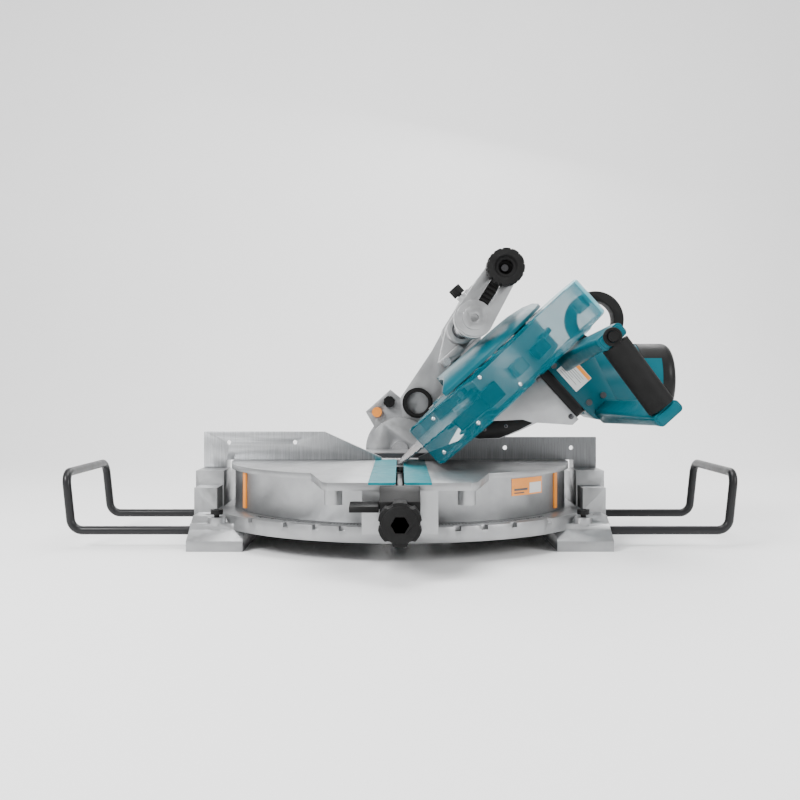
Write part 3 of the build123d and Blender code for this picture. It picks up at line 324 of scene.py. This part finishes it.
def made_plain(carrier):
    """The mesh that an object's modifiers give, with no modifier left."""
    graph = bpy.context.evaluated_depsgraph_get()
    return bpy.data.meshes.new_from_object(carrier.evaluated_get(graph))


def apply_modifiers(mesh, name, modifiers):
    """Runs a list of (type, settings) on a mesh and returns the plain result."""
    carrier = bpy.data.objects.new(name, mesh)
    bpy.context.scene.collection.objects.link(carrier)
    for kind, settings in modifiers:
        modifier = carrier.modifiers.new(kind.title(), kind)
        for key, value in settings.items():
            setattr(modifier, key, value)
    result = made_plain(carrier)
    bpy.data.objects.remove(carrier)
    result.name = name
    return result


def rounded_block(size, radius, segments=3):
    """A block with rounded edges, centred on the origin, as a bmesh."""
    bm = bmesh.new()
    bmesh.ops.create_cube(bm, size=1.0)
    bmesh.ops.scale(bm, vec=size, verts=bm.verts)
    bmesh.ops.bevel(bm, geom=bm.edges[:], offset=radius, segments=segments, profile=0.5, affect="EDGES",
                    clamp_overlap=True)
    return bm


def lathe(profile, segments=48):
    """Turns an (r, z) outline round z; both ends lie on the axis or the outline is closed."""
    bm = bmesh.new()
    rings = []
    for step in range(segments):
        angle = 2 * pi * step / segments
        rings.append([bm.verts.new((r * cos(angle), r * sin(angle), z)) for r, z in profile])
    for step in range(segments):
        here, there = rings[step], rings[(step + 1) % segments]
        for i in range(len(profile) - 1):
            bm.faces.new((here[i], there[i], there[i + 1], here[i + 1]))
    bmesh.ops.remove_doubles(bm, verts=bm.verts, dist=1e-6)
    return bm


# ---------------------------------------------------------------- geometry nodes
def new_tree(name, inputs):
    """An empty node tree with named inputs; returns it with its group input and output nodes."""
    tree = bpy.data.node_groups.new(name, "GeometryNodeTree")
    tree.interface.new_socket("Geometry", in_out="INPUT", socket_type="NodeSocketGeometry")
    for label, kind in inputs:
        tree.interface.new_socket(label, in_out="INPUT", socket_type=kind)
    tree.interface.new_socket("Piece", in_out="INPUT", socket_type="NodeSocketObject")
    tree.interface.new_socket("Finish", in_out="INPUT", socket_type="NodeSocketMaterial")
    tree.interface.new_socket("Geometry", in_out="OUTPUT", socket_type="NodeSocketGeometry")
    return tree, tree.nodes.new("NodeGroupInput"), tree.nodes.new("NodeGroupOutput")


def place_and_finish(tree, source, target, points, rotation):
    """Instances the piece on points, realizes it, gives it its material and ends the tree."""
    links = tree.links
    piece = tree.nodes.new("GeometryNodeObjectInfo")
    copies = tree.nodes.new("GeometryNodeInstanceOnPoints")
    plain = tree.nodes.new("GeometryNodeRealizeInstances")
    finish = tree.nodes.new("GeometryNodeSetMaterial")
    links.new(source.outputs["Piece"], piece.inputs["Object"])
    links.new(points, copies.inputs["Points"])
    links.new(piece.outputs["Geometry"], copies.inputs["Instance"])
    links.new(rotation, copies.inputs["Rotation"])
    links.new(copies.outputs["Instances"], plain.inputs["Geometry"])
    links.new(plain.outputs["Geometry"], finish.inputs["Geometry"])
    links.new(source.outputs["Finish"], finish.inputs["Material"])
    links.new(finish.outputs["Geometry"], target.inputs["Geometry"])


def ring_tree():
    """Count copies on a circle of Radius; each piece's x axis points outwards."""
    tree, source, target = new_tree("Ring of pieces", (("Count", "NodeSocketInt"),
                                                       ("Radius", "NodeSocketFloat")))
    circle = tree.nodes.new("GeometryNodeMeshCircle")
    place = tree.nodes.new("GeometryNodeInputPosition")
    turn = tree.nodes.new("FunctionNodeAlignRotationToVector")
    turn.axis = "X"
    turn.pivot_axis = "Z"
    tree.links.new(source.outputs["Count"], circle.inputs["Vertices"])
    tree.links.new(source.outputs["Radius"], circle.inputs["Radius"])
    tree.links.new(place.outputs["Position"], turn.inputs["Vector"])
    place_and_finish(tree, source, target, circle.outputs["Mesh"], turn.outputs["Rotation"])
    return tree


def points_tree():
    """A copy on each point of the geometry given, with z along the point's aim."""
    tree, source, target = new_tree("Pieces on points", ())
    aim = tree.nodes.new("GeometryNodeInputNamedAttribute")
    aim.data_type = "FLOAT_VECTOR"
    aim.inputs["Name"].default_value = "aim"
    turn = tree.nodes.new("FunctionNodeAlignRotationToVector")
    turn.axis = "Z"
    tree.links.new(aim.outputs["Attribute"], turn.inputs["Vector"])
    place_and_finish(tree, source, target, source.outputs["Geometry"], turn.outputs["Rotation"])
    return tree


TREES = {}


def grow(kind, name, unit, finish, values=None, points=(), matrix=None):
    """Runs one of the trees with a unit piece and returns the plain mesh in its place."""
    if kind not in TREES:
        TREES[kind] = {"ring": ring_tree, "points": points_tree}[kind]()
    tree = TREES[kind]
    mesh = bpy.data.meshes.new(name + "_points")
    mesh.from_pydata([place for place, aim in points], [], [])
    if points:
        aims = mesh.attributes.new("aim", "FLOAT_VECTOR", "POINT")
        aims.data.foreach_set("vector", [c for place, aim in points for c in aim])
    carrier = bpy.data.objects.new(name, mesh)
    piece = bpy.data.objects.new(name + "_unit", mesh_from(unit, name + "_unit"))
    for thing in (carrier, piece):
        bpy.context.scene.collection.objects.link(thing)
    modifier = carrier.modifiers.new("Pieces", "NODES")
    modifier.node_group = tree
    chosen = dict(values or {}, Piece=piece, Finish=MATERIALS[finish])
    for item in tree.interface.items_tree:
        if item.in_out == "INPUT" and item.name in chosen:
            modifier[item.identifier] = chosen[item.name]
    result = made_plain(carrier)
    for thing in (carrier, piece):
        bpy.data.objects.remove(thing)
    if matrix is not None:
        result.transform(matrix)
    result.name = name
    if not len(result.polygons):
        raise RuntimeError(name + " came out empty")
    return result


# ---------------------------------------------------------------- operators
def soften(node, width, body, finish, segments=2, angle=38.0, smooth=48.0):
    """A copy of a CAD part with its sharp edges rounded, which stands for the part."""
    source = frame["nodes"][node]
    bm = bmesh.new()
    bm.from_mesh(source.data)
    bmesh.ops.remove_doubles(bm, verts=bm.verts, dist=2e-6)
    bmesh.ops.dissolve_limit(bm, angle_limit=radians(0.6), verts=bm.verts, edges=bm.edges)
    mesh = bpy.data.meshes.new(node + "_soft")
    bm.to_mesh(mesh)
    bm.free()
    rounded = apply_modifiers(mesh, node + "_soft", [
        ("BEVEL", {"width": width, "segments": segments, "limit_method": "ANGLE",
                   "angle_limit": radians(angle), "use_clamp_overlap": True,
                   "harden_normals": False, "miter_outer": "MITER_ARC"}),
    ])
    piece = new_piece(node + "_cast", rounded, body, finish, smooth)
    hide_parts(node)
    return piece


class SAW_OT_finish_parts(bpy.types.Operator):
    """Gives every machined or moulded part its finish"""
    bl_idname = "saw.finish_parts"
    bl_label = "Finish the parts"

    def execute(self, context):
        special = {"fence_right": "fence_dark", "bevel_clamp_rod": "dark_steel",
                   "pole_bushes": "dark_steel"}
        for part in frame["record"]["subparts"]:
            node, finish = part["node"], special.get(part["node"], part["material_slot"])
            thing = frame["nodes"][node]
            if not thing.material_slots:
                thing.data.materials.append(MATERIALS[finish])
            for place in thing.material_slots:
                place.material = MATERIALS[finish]
        return {"FINISHED"}


class SAW_OT_round_edges(bpy.types.Operator):
    """Rounds the edges of the castings and mouldings, as a mould leaves them"""
    bl_idname = "saw.round_edges"
    bl_label = "Round the edges"

    def execute(self, context):
        for node, body, width, slot in (
                ("motor_housing", "head", 0.0030, "teal_plastic"),
                ("handle_frame", "head", 0.0030, "teal_plastic"),
                ("gear_housing", "head", 0.0020, "cast_aluminium"),
                ("joint_ring", "head", 0.0015, "black_plastic"),
                ("carry_handle", "head", 0.0050, "black_plastic"),
                ("side_cover", "head", 0.0012, "teal_plastic"),
                ("arm_bracket", "turntable", 0.0030, "black_plastic"),
                ("mitre_grip", "mitre_grip", 0.0030, "black_plastic"),
                ("detent_lever", "detent_lever", 0.0010, "black_plastic"),
                ("bevel_lock_knob", "bevel_lock", 0.0012, "black_plastic"),
                ("slide_lock_screw", "slide_lock", 0.0010, "black_plastic"),
                ("pole_holder", "bevel_arm", 0.0020, "cast_aluminium"),
                ("carriage", "carriage", 0.0018, "cast_aluminium"),
                ("bevel_arm", "bevel_arm", 0.0030, "cast_aluminium"),
                ("turntable", "turntable", 0.0012, "cast_aluminium"),
                ("base_casting", "base", 0.0014, "cast_aluminium"),
                ("fence_left", "base", 0.0006, "machined_aluminium")):
            finish = next(part["material_slot"] for part in frame["record"]["subparts"]
                          if part["node"] == node)
            soften(node, width, body, finish)
        return {"FINISHED"}


# Outline of the swinging guard, in millimetres and degrees round the blade's axis
GUARD_R, GUARD_LEFT, GUARD_RIGHT = 182.0, -34.0, 32.0
NOSE_AT, NOSE_R = (-135.0, 343.0), 40.0
GUARD_START, GUARD_END = 113.0, 213.0
HUB_OUTER, HUB_INNER, HUB_WIDTH = 47.2, 36.2, 2.4
SIDE_INNER = 47.0
NOSE_STEPS = 8
GUARD_CORNER = 0.015
# The faces given a paler teal as painted reflection: the nose's top, and the left wall's upper edge
REFLECTION_TOP, REFLECTION_LEFT, REFLECTION_EDGE = 0.228, -0.0325, 0.125


def hull(points):
    """Convex hull of flat points, anticlockwise."""
    points = sorted(points)

    def half(seq):
        chain = []
        for p in seq:
            while len(chain) > 1 and ((chain[-1][0] - chain[-2][0]) * (p[1] - chain[-2][1])
                                      - (chain[-1][1] - chain[-2][1]) * (p[0] - chain[-2][0])) <= 0:
                chain.pop()
            chain.append(p)
        return chain[:-1]
    return half(points) + half(points[::-1])


def crossings(outline, angle):
    """Distances from the blade's axis at which a ray crosses an outline, nearest first."""
    ray = (cos(angle), sin(angle))
    found = []
    for i, (ay, at) in enumerate(outline):
        by, bt = outline[(i + 1) % len(outline)]
        ay_, at_, by_, bt_ = ay - BLADE_AT[0], at - BLADE_AT[1], by - BLADE_AT[0], bt - BLADE_AT[1]
        across_a = ray[0] * at_ - ray[1] * ay_
        across_b = ray[0] * bt_ - ray[1] * by_
        if across_a * across_b < 0:
            share = across_a / (across_a - across_b)
            y, t = ay_ + share * (by_ - ay_), at_ + share * (bt_ - at_)
            reach = y * ray[0] + t * ray[1]
            if reach > 0:
                found.append(reach)
    return sorted(found)


def nose_outline():
    circles = [(NOSE_AT, NOSE_R)]
    for angle in (119.0, 134.0, 149.0):
        turn = radians(angle)
        circles.append(((BLADE_AT[0] + 150 * cos(turn), BLADE_AT[1] + 150 * sin(turn)), GUARD_R - 150))
    return hull([(cy + r * cos(2 * pi * k / 72), ct + r * sin(2 * pi * k / 72))
                 for (cy, ct), r in circles for k in range(72)])


def guard_columns(steps=72):
    """(angle, inner radius, outer radius) along the guard, from the nose down to its low end."""
    nose = nose_outline()
    reach = (BLADE_AT[0] - NOSE_AT[0], NOSE_AT[1] - BLADE_AT[1])
    first = 90 + 180 / pi * (asin(reach[0] / hypot(*reach)) - asin(NOSE_R / hypot(*reach))) + 0.4
    columns = []
    for k in range(NOSE_STEPS + 1):
        angle = first + (GUARD_START - first) * k / NOSE_STEPS
        found = crossings(nose, radians(angle))
        columns.append((angle, found[0], found[-1]))
    for k in range(1, steps + 1):
        angle = GUARD_START + (GUARD_END - GUARD_START) * k / steps
        found = crossings(nose, radians(angle))
        columns.append((angle, None, max([GUARD_R] + found)))
    return columns


class SAW_OT_guard(bpy.types.Operator):
    """Blows the clear guard: two side walls and a rim with soft corners, and hub rings"""
    bl_idname = "saw.guard"
    bl_label = "Clear guard"

    def execute(self, context):
        columns = guard_columns()
        wall = context.scene.saw_details.guard_wall
        place = head_matrix(0, *BLADE_AT)
        bm = bmesh.new()
        rows = []
        for x in (GUARD_LEFT, GUARD_RIGHT):
            side = []
            for angle, near, far in columns:
                turn = radians(angle)
                low = near if near is not None else SIDE_INNER
                side.append([bm.verts.new((x * MM, r * cos(turn) * MM, r * sin(turn) * MM))
                             for r in (low, far)])
            turn = radians(GUARD_START)
            side.append([bm.verts.new((x * MM, SIDE_INNER * cos(turn) * MM, SIDE_INNER * sin(turn) * MM))])
            rows.append(side)
        round_edges = []
        for side in rows:
            for i in range(len(columns) - 1):
                face = [side[i][0], side[i][1], side[i + 1][1], side[i + 1][0]]
                if i == NOSE_STEPS:
                    face = [side[-1][0], side[i][0], side[i][1], side[i + 1][1], side[i + 1][0]]
                bm.faces.new(face)
        for i in range(len(columns) - 1):
            bm.faces.new((rows[0][i][1], rows[1][i][1], rows[1][i + 1][1], rows[0][i + 1][1]))
            for side in rows:
                round_edges.append(bm.edges.get((side[i][1], side[i + 1][1])))
            if i < NOSE_STEPS:
                bm.faces.new((rows[0][i][0], rows[0][i + 1][0], rows[1][i + 1][0], rows[1][i][0]))
                for side in rows:
                    round_edges.append(bm.edges.get((side[i][0], side[i + 1][0])))
        bm.faces.new((rows[0][0][0], rows[1][0][0], rows[1][0][1], rows[0][0][1]))
        for side in rows:
            round_edges.append(bm.edges.get((side[0][0], side[0][1])))
        bmesh.ops.bevel(bm, geom=[e for e in round_edges if e], offset=GUARD_CORNER, segments=6, profile=0.5,
                        affect="EDGES", clamp_overlap=True)
        shell = mesh_from(bm, "guard_shell", place)
        solid = apply_modifiers(shell, "guard_shell", [("SOLIDIFY", {"thickness": wall, "offset": -1.0})])
        solid.materials.clear()
        # the second slot is the paler teal of painted reflection, on the nose's top and the left wall's
        # upper edge
        for finish in ("clear_plastic", "painted_reflection_plastic"):
            solid.materials.append(MATERIALS[finish])
        back = place.inverted()
        for face in solid.polygons:
            here = back @ face.center
            painted_reflection = here.z > REFLECTION_TOP or (here.x < REFLECTION_LEFT and here.z > REFLECTION_EDGE)
            face.material_index = 1 if painted_reflection else 0
        guard = new_piece("guard_shell", solid, "lower_guard", None, 60.0)
        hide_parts("lower_guard")
        for name, start in (("guard_hub_left", GUARD_LEFT), ("guard_hub_right", GUARD_RIGHT - HUB_WIDTH)):
            profile = [(r * MM, z * MM) for r, z in ((HUB_INNER, 0), (HUB_OUTER, 0), (HUB_OUTER, HUB_WIDTH),
                                                     (HUB_INNER, HUB_WIDTH), (HUB_INNER, 0))]
            ring = mesh_from(lathe(profile, 64), name,
                             axes_matrix(leaned(start, *BLADE_AT), BACK, UP, ACROSS))
            new_piece(name, ring, "lower_guard", "clear_plastic")
        return {"FINISHED"}


def on_rim(x, angle, radius):
    """A place on a cylinder round the blade's axis, with the direction away from it."""
    turn = radians(angle)
    place = leaned(x, BLADE_AT[0] + radius * cos(turn), BLADE_AT[1] + radius * sin(turn))
    return place, BACK * cos(turn) + UP * sin(turn)


class SAW_OT_guard_fittings(bpy.types.Operator):
    """Rivets on the guard, and the black blocks and bolts of its link on the blade's case"""
    bl_idname = "saw.guard_fittings"
    bl_label = "Guard fittings"

    def execute(self, context):
        dome = [(0, 1.8), (1.6, 1.6), (2.7, 0.9), (3.3, 0), (3.3, -2.6), (0, -2.6)]
        rivet = lathe([(r * MM, z * MM) for r, z in dome], 20)
        spots = [on_rim(x, angle, GUARD_R + 0.2) for x, angle in ((22, 207.0), (22, 186.0), (-24, 200.0),
                                                                   (-24, 172.0), (22, 160.0))]
        rivets = grow("points", "guard_rivets", rivet, "bright_steel", points=spots)
        new_piece("guard_rivets", rivets, "lower_guard", None)
        for name, x, angle, size, finish in (
                ("link_block_low", 7, 186.0, (20, 52, 11), "black_plastic"),
                ("link_block_mid", 6, 172.5, (27, 30, 14), "black_plastic"),
                ("link_block_bolt", 4, 152.0, (20, 24, 13), "black_plastic"),
                ("link_block_top", 7, 133.0, (20, 34, 13), "black_plastic"),
                ("link_bar", -2, 118.0, (9, 44, 10), "dark_steel")):
            place, away = on_rim(x, angle, 163 + size[2] / 2)
            block = rounded_block([v * MM for v in size], 0.002, 3)
            mesh = mesh_from(block, name, axes_matrix(place, ACROSS, away.cross(ACROSS), away))
            new_piece(name, mesh, "head", finish)
        latch = rounded_block((0.020, 0.016, 0.020), 0.0025, 3)
        new_piece("guard_latch", mesh_from(latch, "guard_latch", head_matrix(-1, -158, 358)), "lower_guard",
                  "black_plastic")
        return {"FINISHED"}


class SAW_OT_knob_ribs(bpy.types.Operator):
    """Ribs round the bevel lock knob"""
    bl_idname = "saw.knob_ribs"
    bl_label = "Knob ribs"

    def execute(self, context):
        details = context.scene.saw_details
        pole = leaned(-115, -206, 305)
        rib = rounded_block((0.0024, 0.0024, 0.020), 0.0008, 2)
        ribs = grow("ring", "lock_knob_ribs", rib, "black_plastic",
                    {"Count": details.knob_ribs, "Radius": 0.0260}, matrix=facing_front(pole))
        new_piece("lock_knob_ribs", ribs, "bevel_lock", None)
        return {"FINISHED"}


LABEL_AT, LABEL_SIZE = (74.5, 290.4), (45.0, 31.5)
# How far forward the housings' front walls and the gear cover's back lie, in millimetres
HOUSING_FRONT, GEAR_FRONT, COVER_BACK = -104.0, -102.0, -100.0
COVER_DEPTH = 4.0
COVER_OUTLINE = ((36, 106), (51, 117), (71, 141), (82, 172), (88, 194), (74, 186), (58, 166), (36, 140))


class SAW_OT_labels(bpy.types.Operator):
    """Plain printed plates: coloured bands and grey rules with no words"""
    bl_idname = "saw.labels"
    bl_label = "Labels"

    def execute(self, context):
        width, height = LABEL_SIZE
        plates = [("label_plate", (0, 0), (width, height), 0.5, "label_white"),
                  ("label_band", (0, height / 2 - 3.4), (width - 1.0, 5.8), 0.62, "label_orange")]
        for row in range(6):
            length = (width - 8) * (0.92, 0.85, 0.95, 0.6, 0.88, 0.5)[row]
            plates.append(("label_rule_%d" % row, (-(width - 8 - length) / 2, height / 2 - 10.5 - 3.4 * row),
                           (length, 0.9), 0.6, "label_ink"))
        for name, (dx, dt), (w, h), lift, finish in plates:
            plate = rounded_block((w * MM, lift * MM * 2, h * MM), 0.0002, 1)
            place = head_matrix(LABEL_AT[0] + dx, HOUSING_FRONT, LABEL_AT[1] + dt)
            new_piece(name, mesh_from(plate, name, place), "head", finish)
        self.curved_label()
        return {"FINISHED"}

    def curved_label(self):
        """A plate bent round the table's wall, with a darker panel beside a plain one."""
        for name, start, end, low, high, radius, finish in (
                ("wall_label", 36.6, 51.4, 81.0, 105.5, 265.5, "label_orange"),
                ("wall_label_panel", 44.6, 50.8, 83.0, 98.0, 265.8, "label_white"),
                ("wall_label_rule", 37.6, 43.6, 88.0, 91.0, 265.8, "label_ink"),
                ("wall_label_rule_low", 37.6, 42.0, 84.0, 85.6, 265.8, "label_ink")):
            bm = bmesh.new()
            steps = 12
            corners = []
            for k in range(steps + 1):
                turn = radians(start + (end - start) * k / steps)
                away = Vector((sin(turn), -cos(turn), 0.0)) * radius * MM
                corners.append([bm.verts.new((away.x * s, away.y * s, z * MM))
                                for s, z in ((1, low), (1, high), (0.9975, high), (0.9975, low))])
            for a, b in zip(corners, corners[1:]):
                for i in range(4):
                    bm.faces.new((a[i], b[i], b[(i + 1) % 4], a[(i + 1) % 4]))
            for end_ring in (corners[0], corners[-1]):
                bm.faces.new(end_ring)
            new_piece(name, mesh_from(bm, name), "turntable", finish)


class SAW_OT_screws(bpy.types.Operator):
    """Pan-head screws on the housings, at the places where the mouldings join"""
    bl_idname = "saw.screws"
    bl_label = "Screws"

    def execute(self, context):
        head = [(0, 0.9), (1.4, 0.9), (1.4, 2.2), (3.0, 2.0), (4.1, 1.1), (4.4, 0), (4.4, -1.5), (0, -1.5)]
        screw = lathe([(r * MM, z * MM) for r, z in head], 24)
        front = -BACK
        spots = [(leaned(x, GEAR_FRONT, t), front)
                 for x, t in ((44, 246), (64, 160), (120, 244), (46, 132))]
        screws = grow("points", "housing_screws", screw, "dark_steel", points=spots)
        new_piece("housing_screws", screws, "head", None)
        return {"FINISHED"}


class SAW_OT_covers(bpy.types.Operator):
    """Black cover on the low end of the gear housing, and a collar round the lock-off button"""
    bl_idname = "saw.covers"
    bl_label = "Small covers"

    def execute(self, context):
        bm = bmesh.new()
        face = bm.faces.new([bm.verts.new((x * MM, 0.0, t * MM)) for x, t in COVER_OUTLINE])
        grown = bmesh.ops.extrude_face_region(bm, geom=[face])["geom"]
        bmesh.ops.translate(bm, vec=-BACK * COVER_DEPTH * MM,
                            verts=[v for v in grown if isinstance(v, bmesh.types.BMVert)])
        bmesh.ops.bevel(bm, geom=bm.edges[:], offset=0.0012, segments=2, profile=0.5, affect="EDGES",
                        clamp_overlap=True)
        cover = mesh_from(bm, "gear_cover", head_matrix(0, COVER_BACK, 0))
        new_piece("gear_cover", cover, "head", "black_plastic")
        corners = [Vector(v.co) for v in frame["nodes"]["lock_off_button"].data.vertices]
        middle = sum(corners, Vector()) / len(corners)
        outline = ((8.0, -2), (12.6, -2), (12.6, 1.6), (11.6, 2.6), (8.0, 2.6), (8.0, -2))
        profile = [(r * MM, z * MM) for r, z in outline]
        collar = mesh_from(lathe(profile, 40), "lock_off_collar", facing_front(middle, ACROSS))
        new_piece("lock_off_collar", collar, "head", "black_plastic")
        return {"FINISHED"}


class SAW_OT_blade_tips(bpy.types.Operator):
    """Carbide tips brazed on the blade's teeth"""
    bl_idname = "saw.blade_tips"
    bl_label = "Carbide tips"

    def execute(self, context):
        tip = rounded_block((0.0060, 0.0020, 0.0030), 0.0003, 1)
        tips = grow("ring", "blade_tips", tip, "carbide", {"Count": 60, "Radius": 0.1497},
                    matrix=axes_matrix(leaned(0, *BLADE_AT), BACK, UP, ACROSS))
        new_piece("blade_tips", tips, "blade", None)
        return {"FINISHED"}


SCALE_TOP = 0.0491      # middle height of the marks on the base ring
MARK_HALF_WIDTH, MARK_HALF_DEPTH = 0.00035, 0.0003


class SAW_OT_scale(bpy.types.Operator):
    """Degree marks on the base ring"""
    bl_idname = "saw.scale"
    bl_label = "Mitre scale"

    def execute(self, context):
        up = Vector((0.0, 0.0, 1.0))
        quads = ((0, 1, 2, 3), (4, 5, 6, 7), (0, 1, 5, 4), (1, 2, 6, 5), (2, 3, 7, 6), (3, 0, 4, 7))
        for name, count, span, length, radius in (("scale_degrees", 97, 96.0, 0.006, 0.2765),
                                                  ("scale_fives", 19, 90.0, 0.010, 0.2785)):
            bm = bmesh.new()
            for k in range(count):
                angle = radians(-span / 2 + span * k / (count - 1))
                away = Vector((sin(angle), -cos(angle), 0.0))
                along = up.cross(away)
                middle = away * radius + up * SCALE_TOP
                corners = [middle + away * (sx * length / 2) + along * (sy * MARK_HALF_WIDTH) + up * sz
                           for sz in (-MARK_HALF_DEPTH, MARK_HALF_DEPTH)
                           for sx, sy in ((-1, -1), (1, -1), (1, 1), (-1, 1))]
                verts = [bm.verts.new(c) for c in corners]
                for quad in quads:
                    bm.faces.new([verts[i] for i in quad])
            new_piece(name, mesh_from(bm, name), "base", "scale_mark")
        return {"FINISHED"}


# The floor sweeps up behind the saw: where the curve starts, its radius and the wall's top
SWEEP_START, SWEEP_R, SWEEP_TOP, SWEEP_HALF = 1.2, 0.8, 3.0, 4.0
# name, place, size across and power in watts
LIGHTS = (("key", (-1.5, -1.7, 1.8), 1.1, 95.0),
          ("fill", (1.9, -1.4, 1.1), 1.2, 34.0),
          ("rim", (0.4, 1.4, 1.7), 1.4, 24.0),
          ("top", (0.0, -0.1, 2.2), 1.6, 45.0))
LIT_POINT = Vector((0.05, -0.05, 0.18))
PAPER = (0.90, 0.90, 0.90)


class SAW_OT_stage(bpy.types.Operator):
    """Pale floor, soft studio lights and a level camera in front of the fence"""
    bl_idname = "saw.stage"
    bl_label = "Stage"

    def execute(self, context):
        scene = context.scene
        stage = scene.saw_stage
        floor = bpy.data.meshes.new("floor")
        bm = bmesh.new()
        profile = [(y, 0.0) for y in (-SWEEP_HALF, -1.0, SWEEP_START)]
        profile += [(SWEEP_START + SWEEP_R * sin(radians(a)), SWEEP_R - SWEEP_R * cos(radians(a)))
                    for a in range(10, 91, 10)]
        profile += [(SWEEP_START + SWEEP_R, SWEEP_TOP)]
        strips = [[bm.verts.new((x, y, z)) for y, z in profile] for x in (-SWEEP_HALF, SWEEP_HALF)]
        for i in range(len(profile) - 1):
            bm.faces.new((strips[0][i], strips[1][i], strips[1][i + 1], strips[0][i + 1]))
        bm.to_mesh(floor)
        bm.free()
        floor.polygons.foreach_set("use_smooth", [True] * len(floor.polygons))
        paper = shader("paper", PAPER, 0.75)
        vary_colour(paper, object_noise(paper, 3.0), PAPER, 0.01)
        floor.materials.append(paper)
        sweep = bpy.data.objects.new("floor", floor)
        scene.collection.objects.link(sweep)
        world = bpy.data.worlds.new("studio")
        world.use_nodes = True
        sky = world.node_tree.nodes["Background"]
        sky.inputs["Color"].default_value = (1.0, 1.0, 1.0, 1.0)
        sky.inputs["Strength"].default_value = 0.7
        scene.world = world
        for name, place, size, power in LIGHTS:
            lamp = bpy.data.lights.new(name, "AREA")
            lamp.shape = "DISK"
            lamp.size = size
            lamp.energy = power
            light = bpy.data.objects.new(name, lamp)
            light.location = place
            aim = LIT_POINT - Vector(place)
            light.rotation_euler = aim.to_track_quat("-Z", "Y").to_euler()
            scene.collection.objects.link(light)
        lens = bpy.data.cameras.new("camera")
        lens.lens = stage.lens
        lens.sensor_width = 36.0
        lens.shift_y = stage.shift
        camera = bpy.data.objects.new("camera", lens)
        camera.location = (0.0, -stage.camera_distance, stage.camera_height)
        camera.rotation_euler = (radians(90.0), 0.0, 0.0)
        scene.collection.objects.link(camera)
        scene.camera = camera
        return {"FINISHED"}


# ---------------------------------------------------------------- panel and run
STEPS = (SAW_OT_stage, SAW_OT_finish_parts, SAW_OT_round_edges, SAW_OT_guard, SAW_OT_guard_fittings,
         SAW_OT_knob_ribs, SAW_OT_labels, SAW_OT_screws, SAW_OT_covers, SAW_OT_blade_tips, SAW_OT_scale)


class SAW_PT_dressing(bpy.types.Panel):
    """Settings and steps of the saw's dressing"""
    bl_idname = "SAW_PT_dressing"
    bl_label = "Mitre Saw"
    bl_space_type = "VIEW_3D"
    bl_region_type = "UI"
    bl_category = "Mitre Saw"

    def draw(self, context):
        layout = self.layout
        for name in SETTINGS:
            group = getattr(context.scene, name)
            box = layout.box()
            for key in group.__annotations__:
                box.prop(group, key)
        for step in STEPS:
            layout.operator(step.bl_idname)


def register():
    for kind in (*SETTINGS.values(), *STEPS, SAW_PT_dressing):
        bpy.utils.register_class(kind)
    for name, kind in SETTINGS.items():
        setattr(bpy.types.Scene, name, PointerProperty(type=kind))


def unregister():
    for name in SETTINGS:
        delattr(bpy.types.Scene, name)
    for kind in reversed((*SETTINGS.values(), *STEPS, SAW_PT_dressing)):
        bpy.utils.unregister_class(kind)


def main():
    register()
    MATERIALS.update(make_materials(bpy.context.scene.saw_colours))
    for step in STEPS:
        family, name = step.bl_idname.split(".")
        getattr(getattr(bpy.ops, family), name)()


if __name__ == "__main__":
    main()
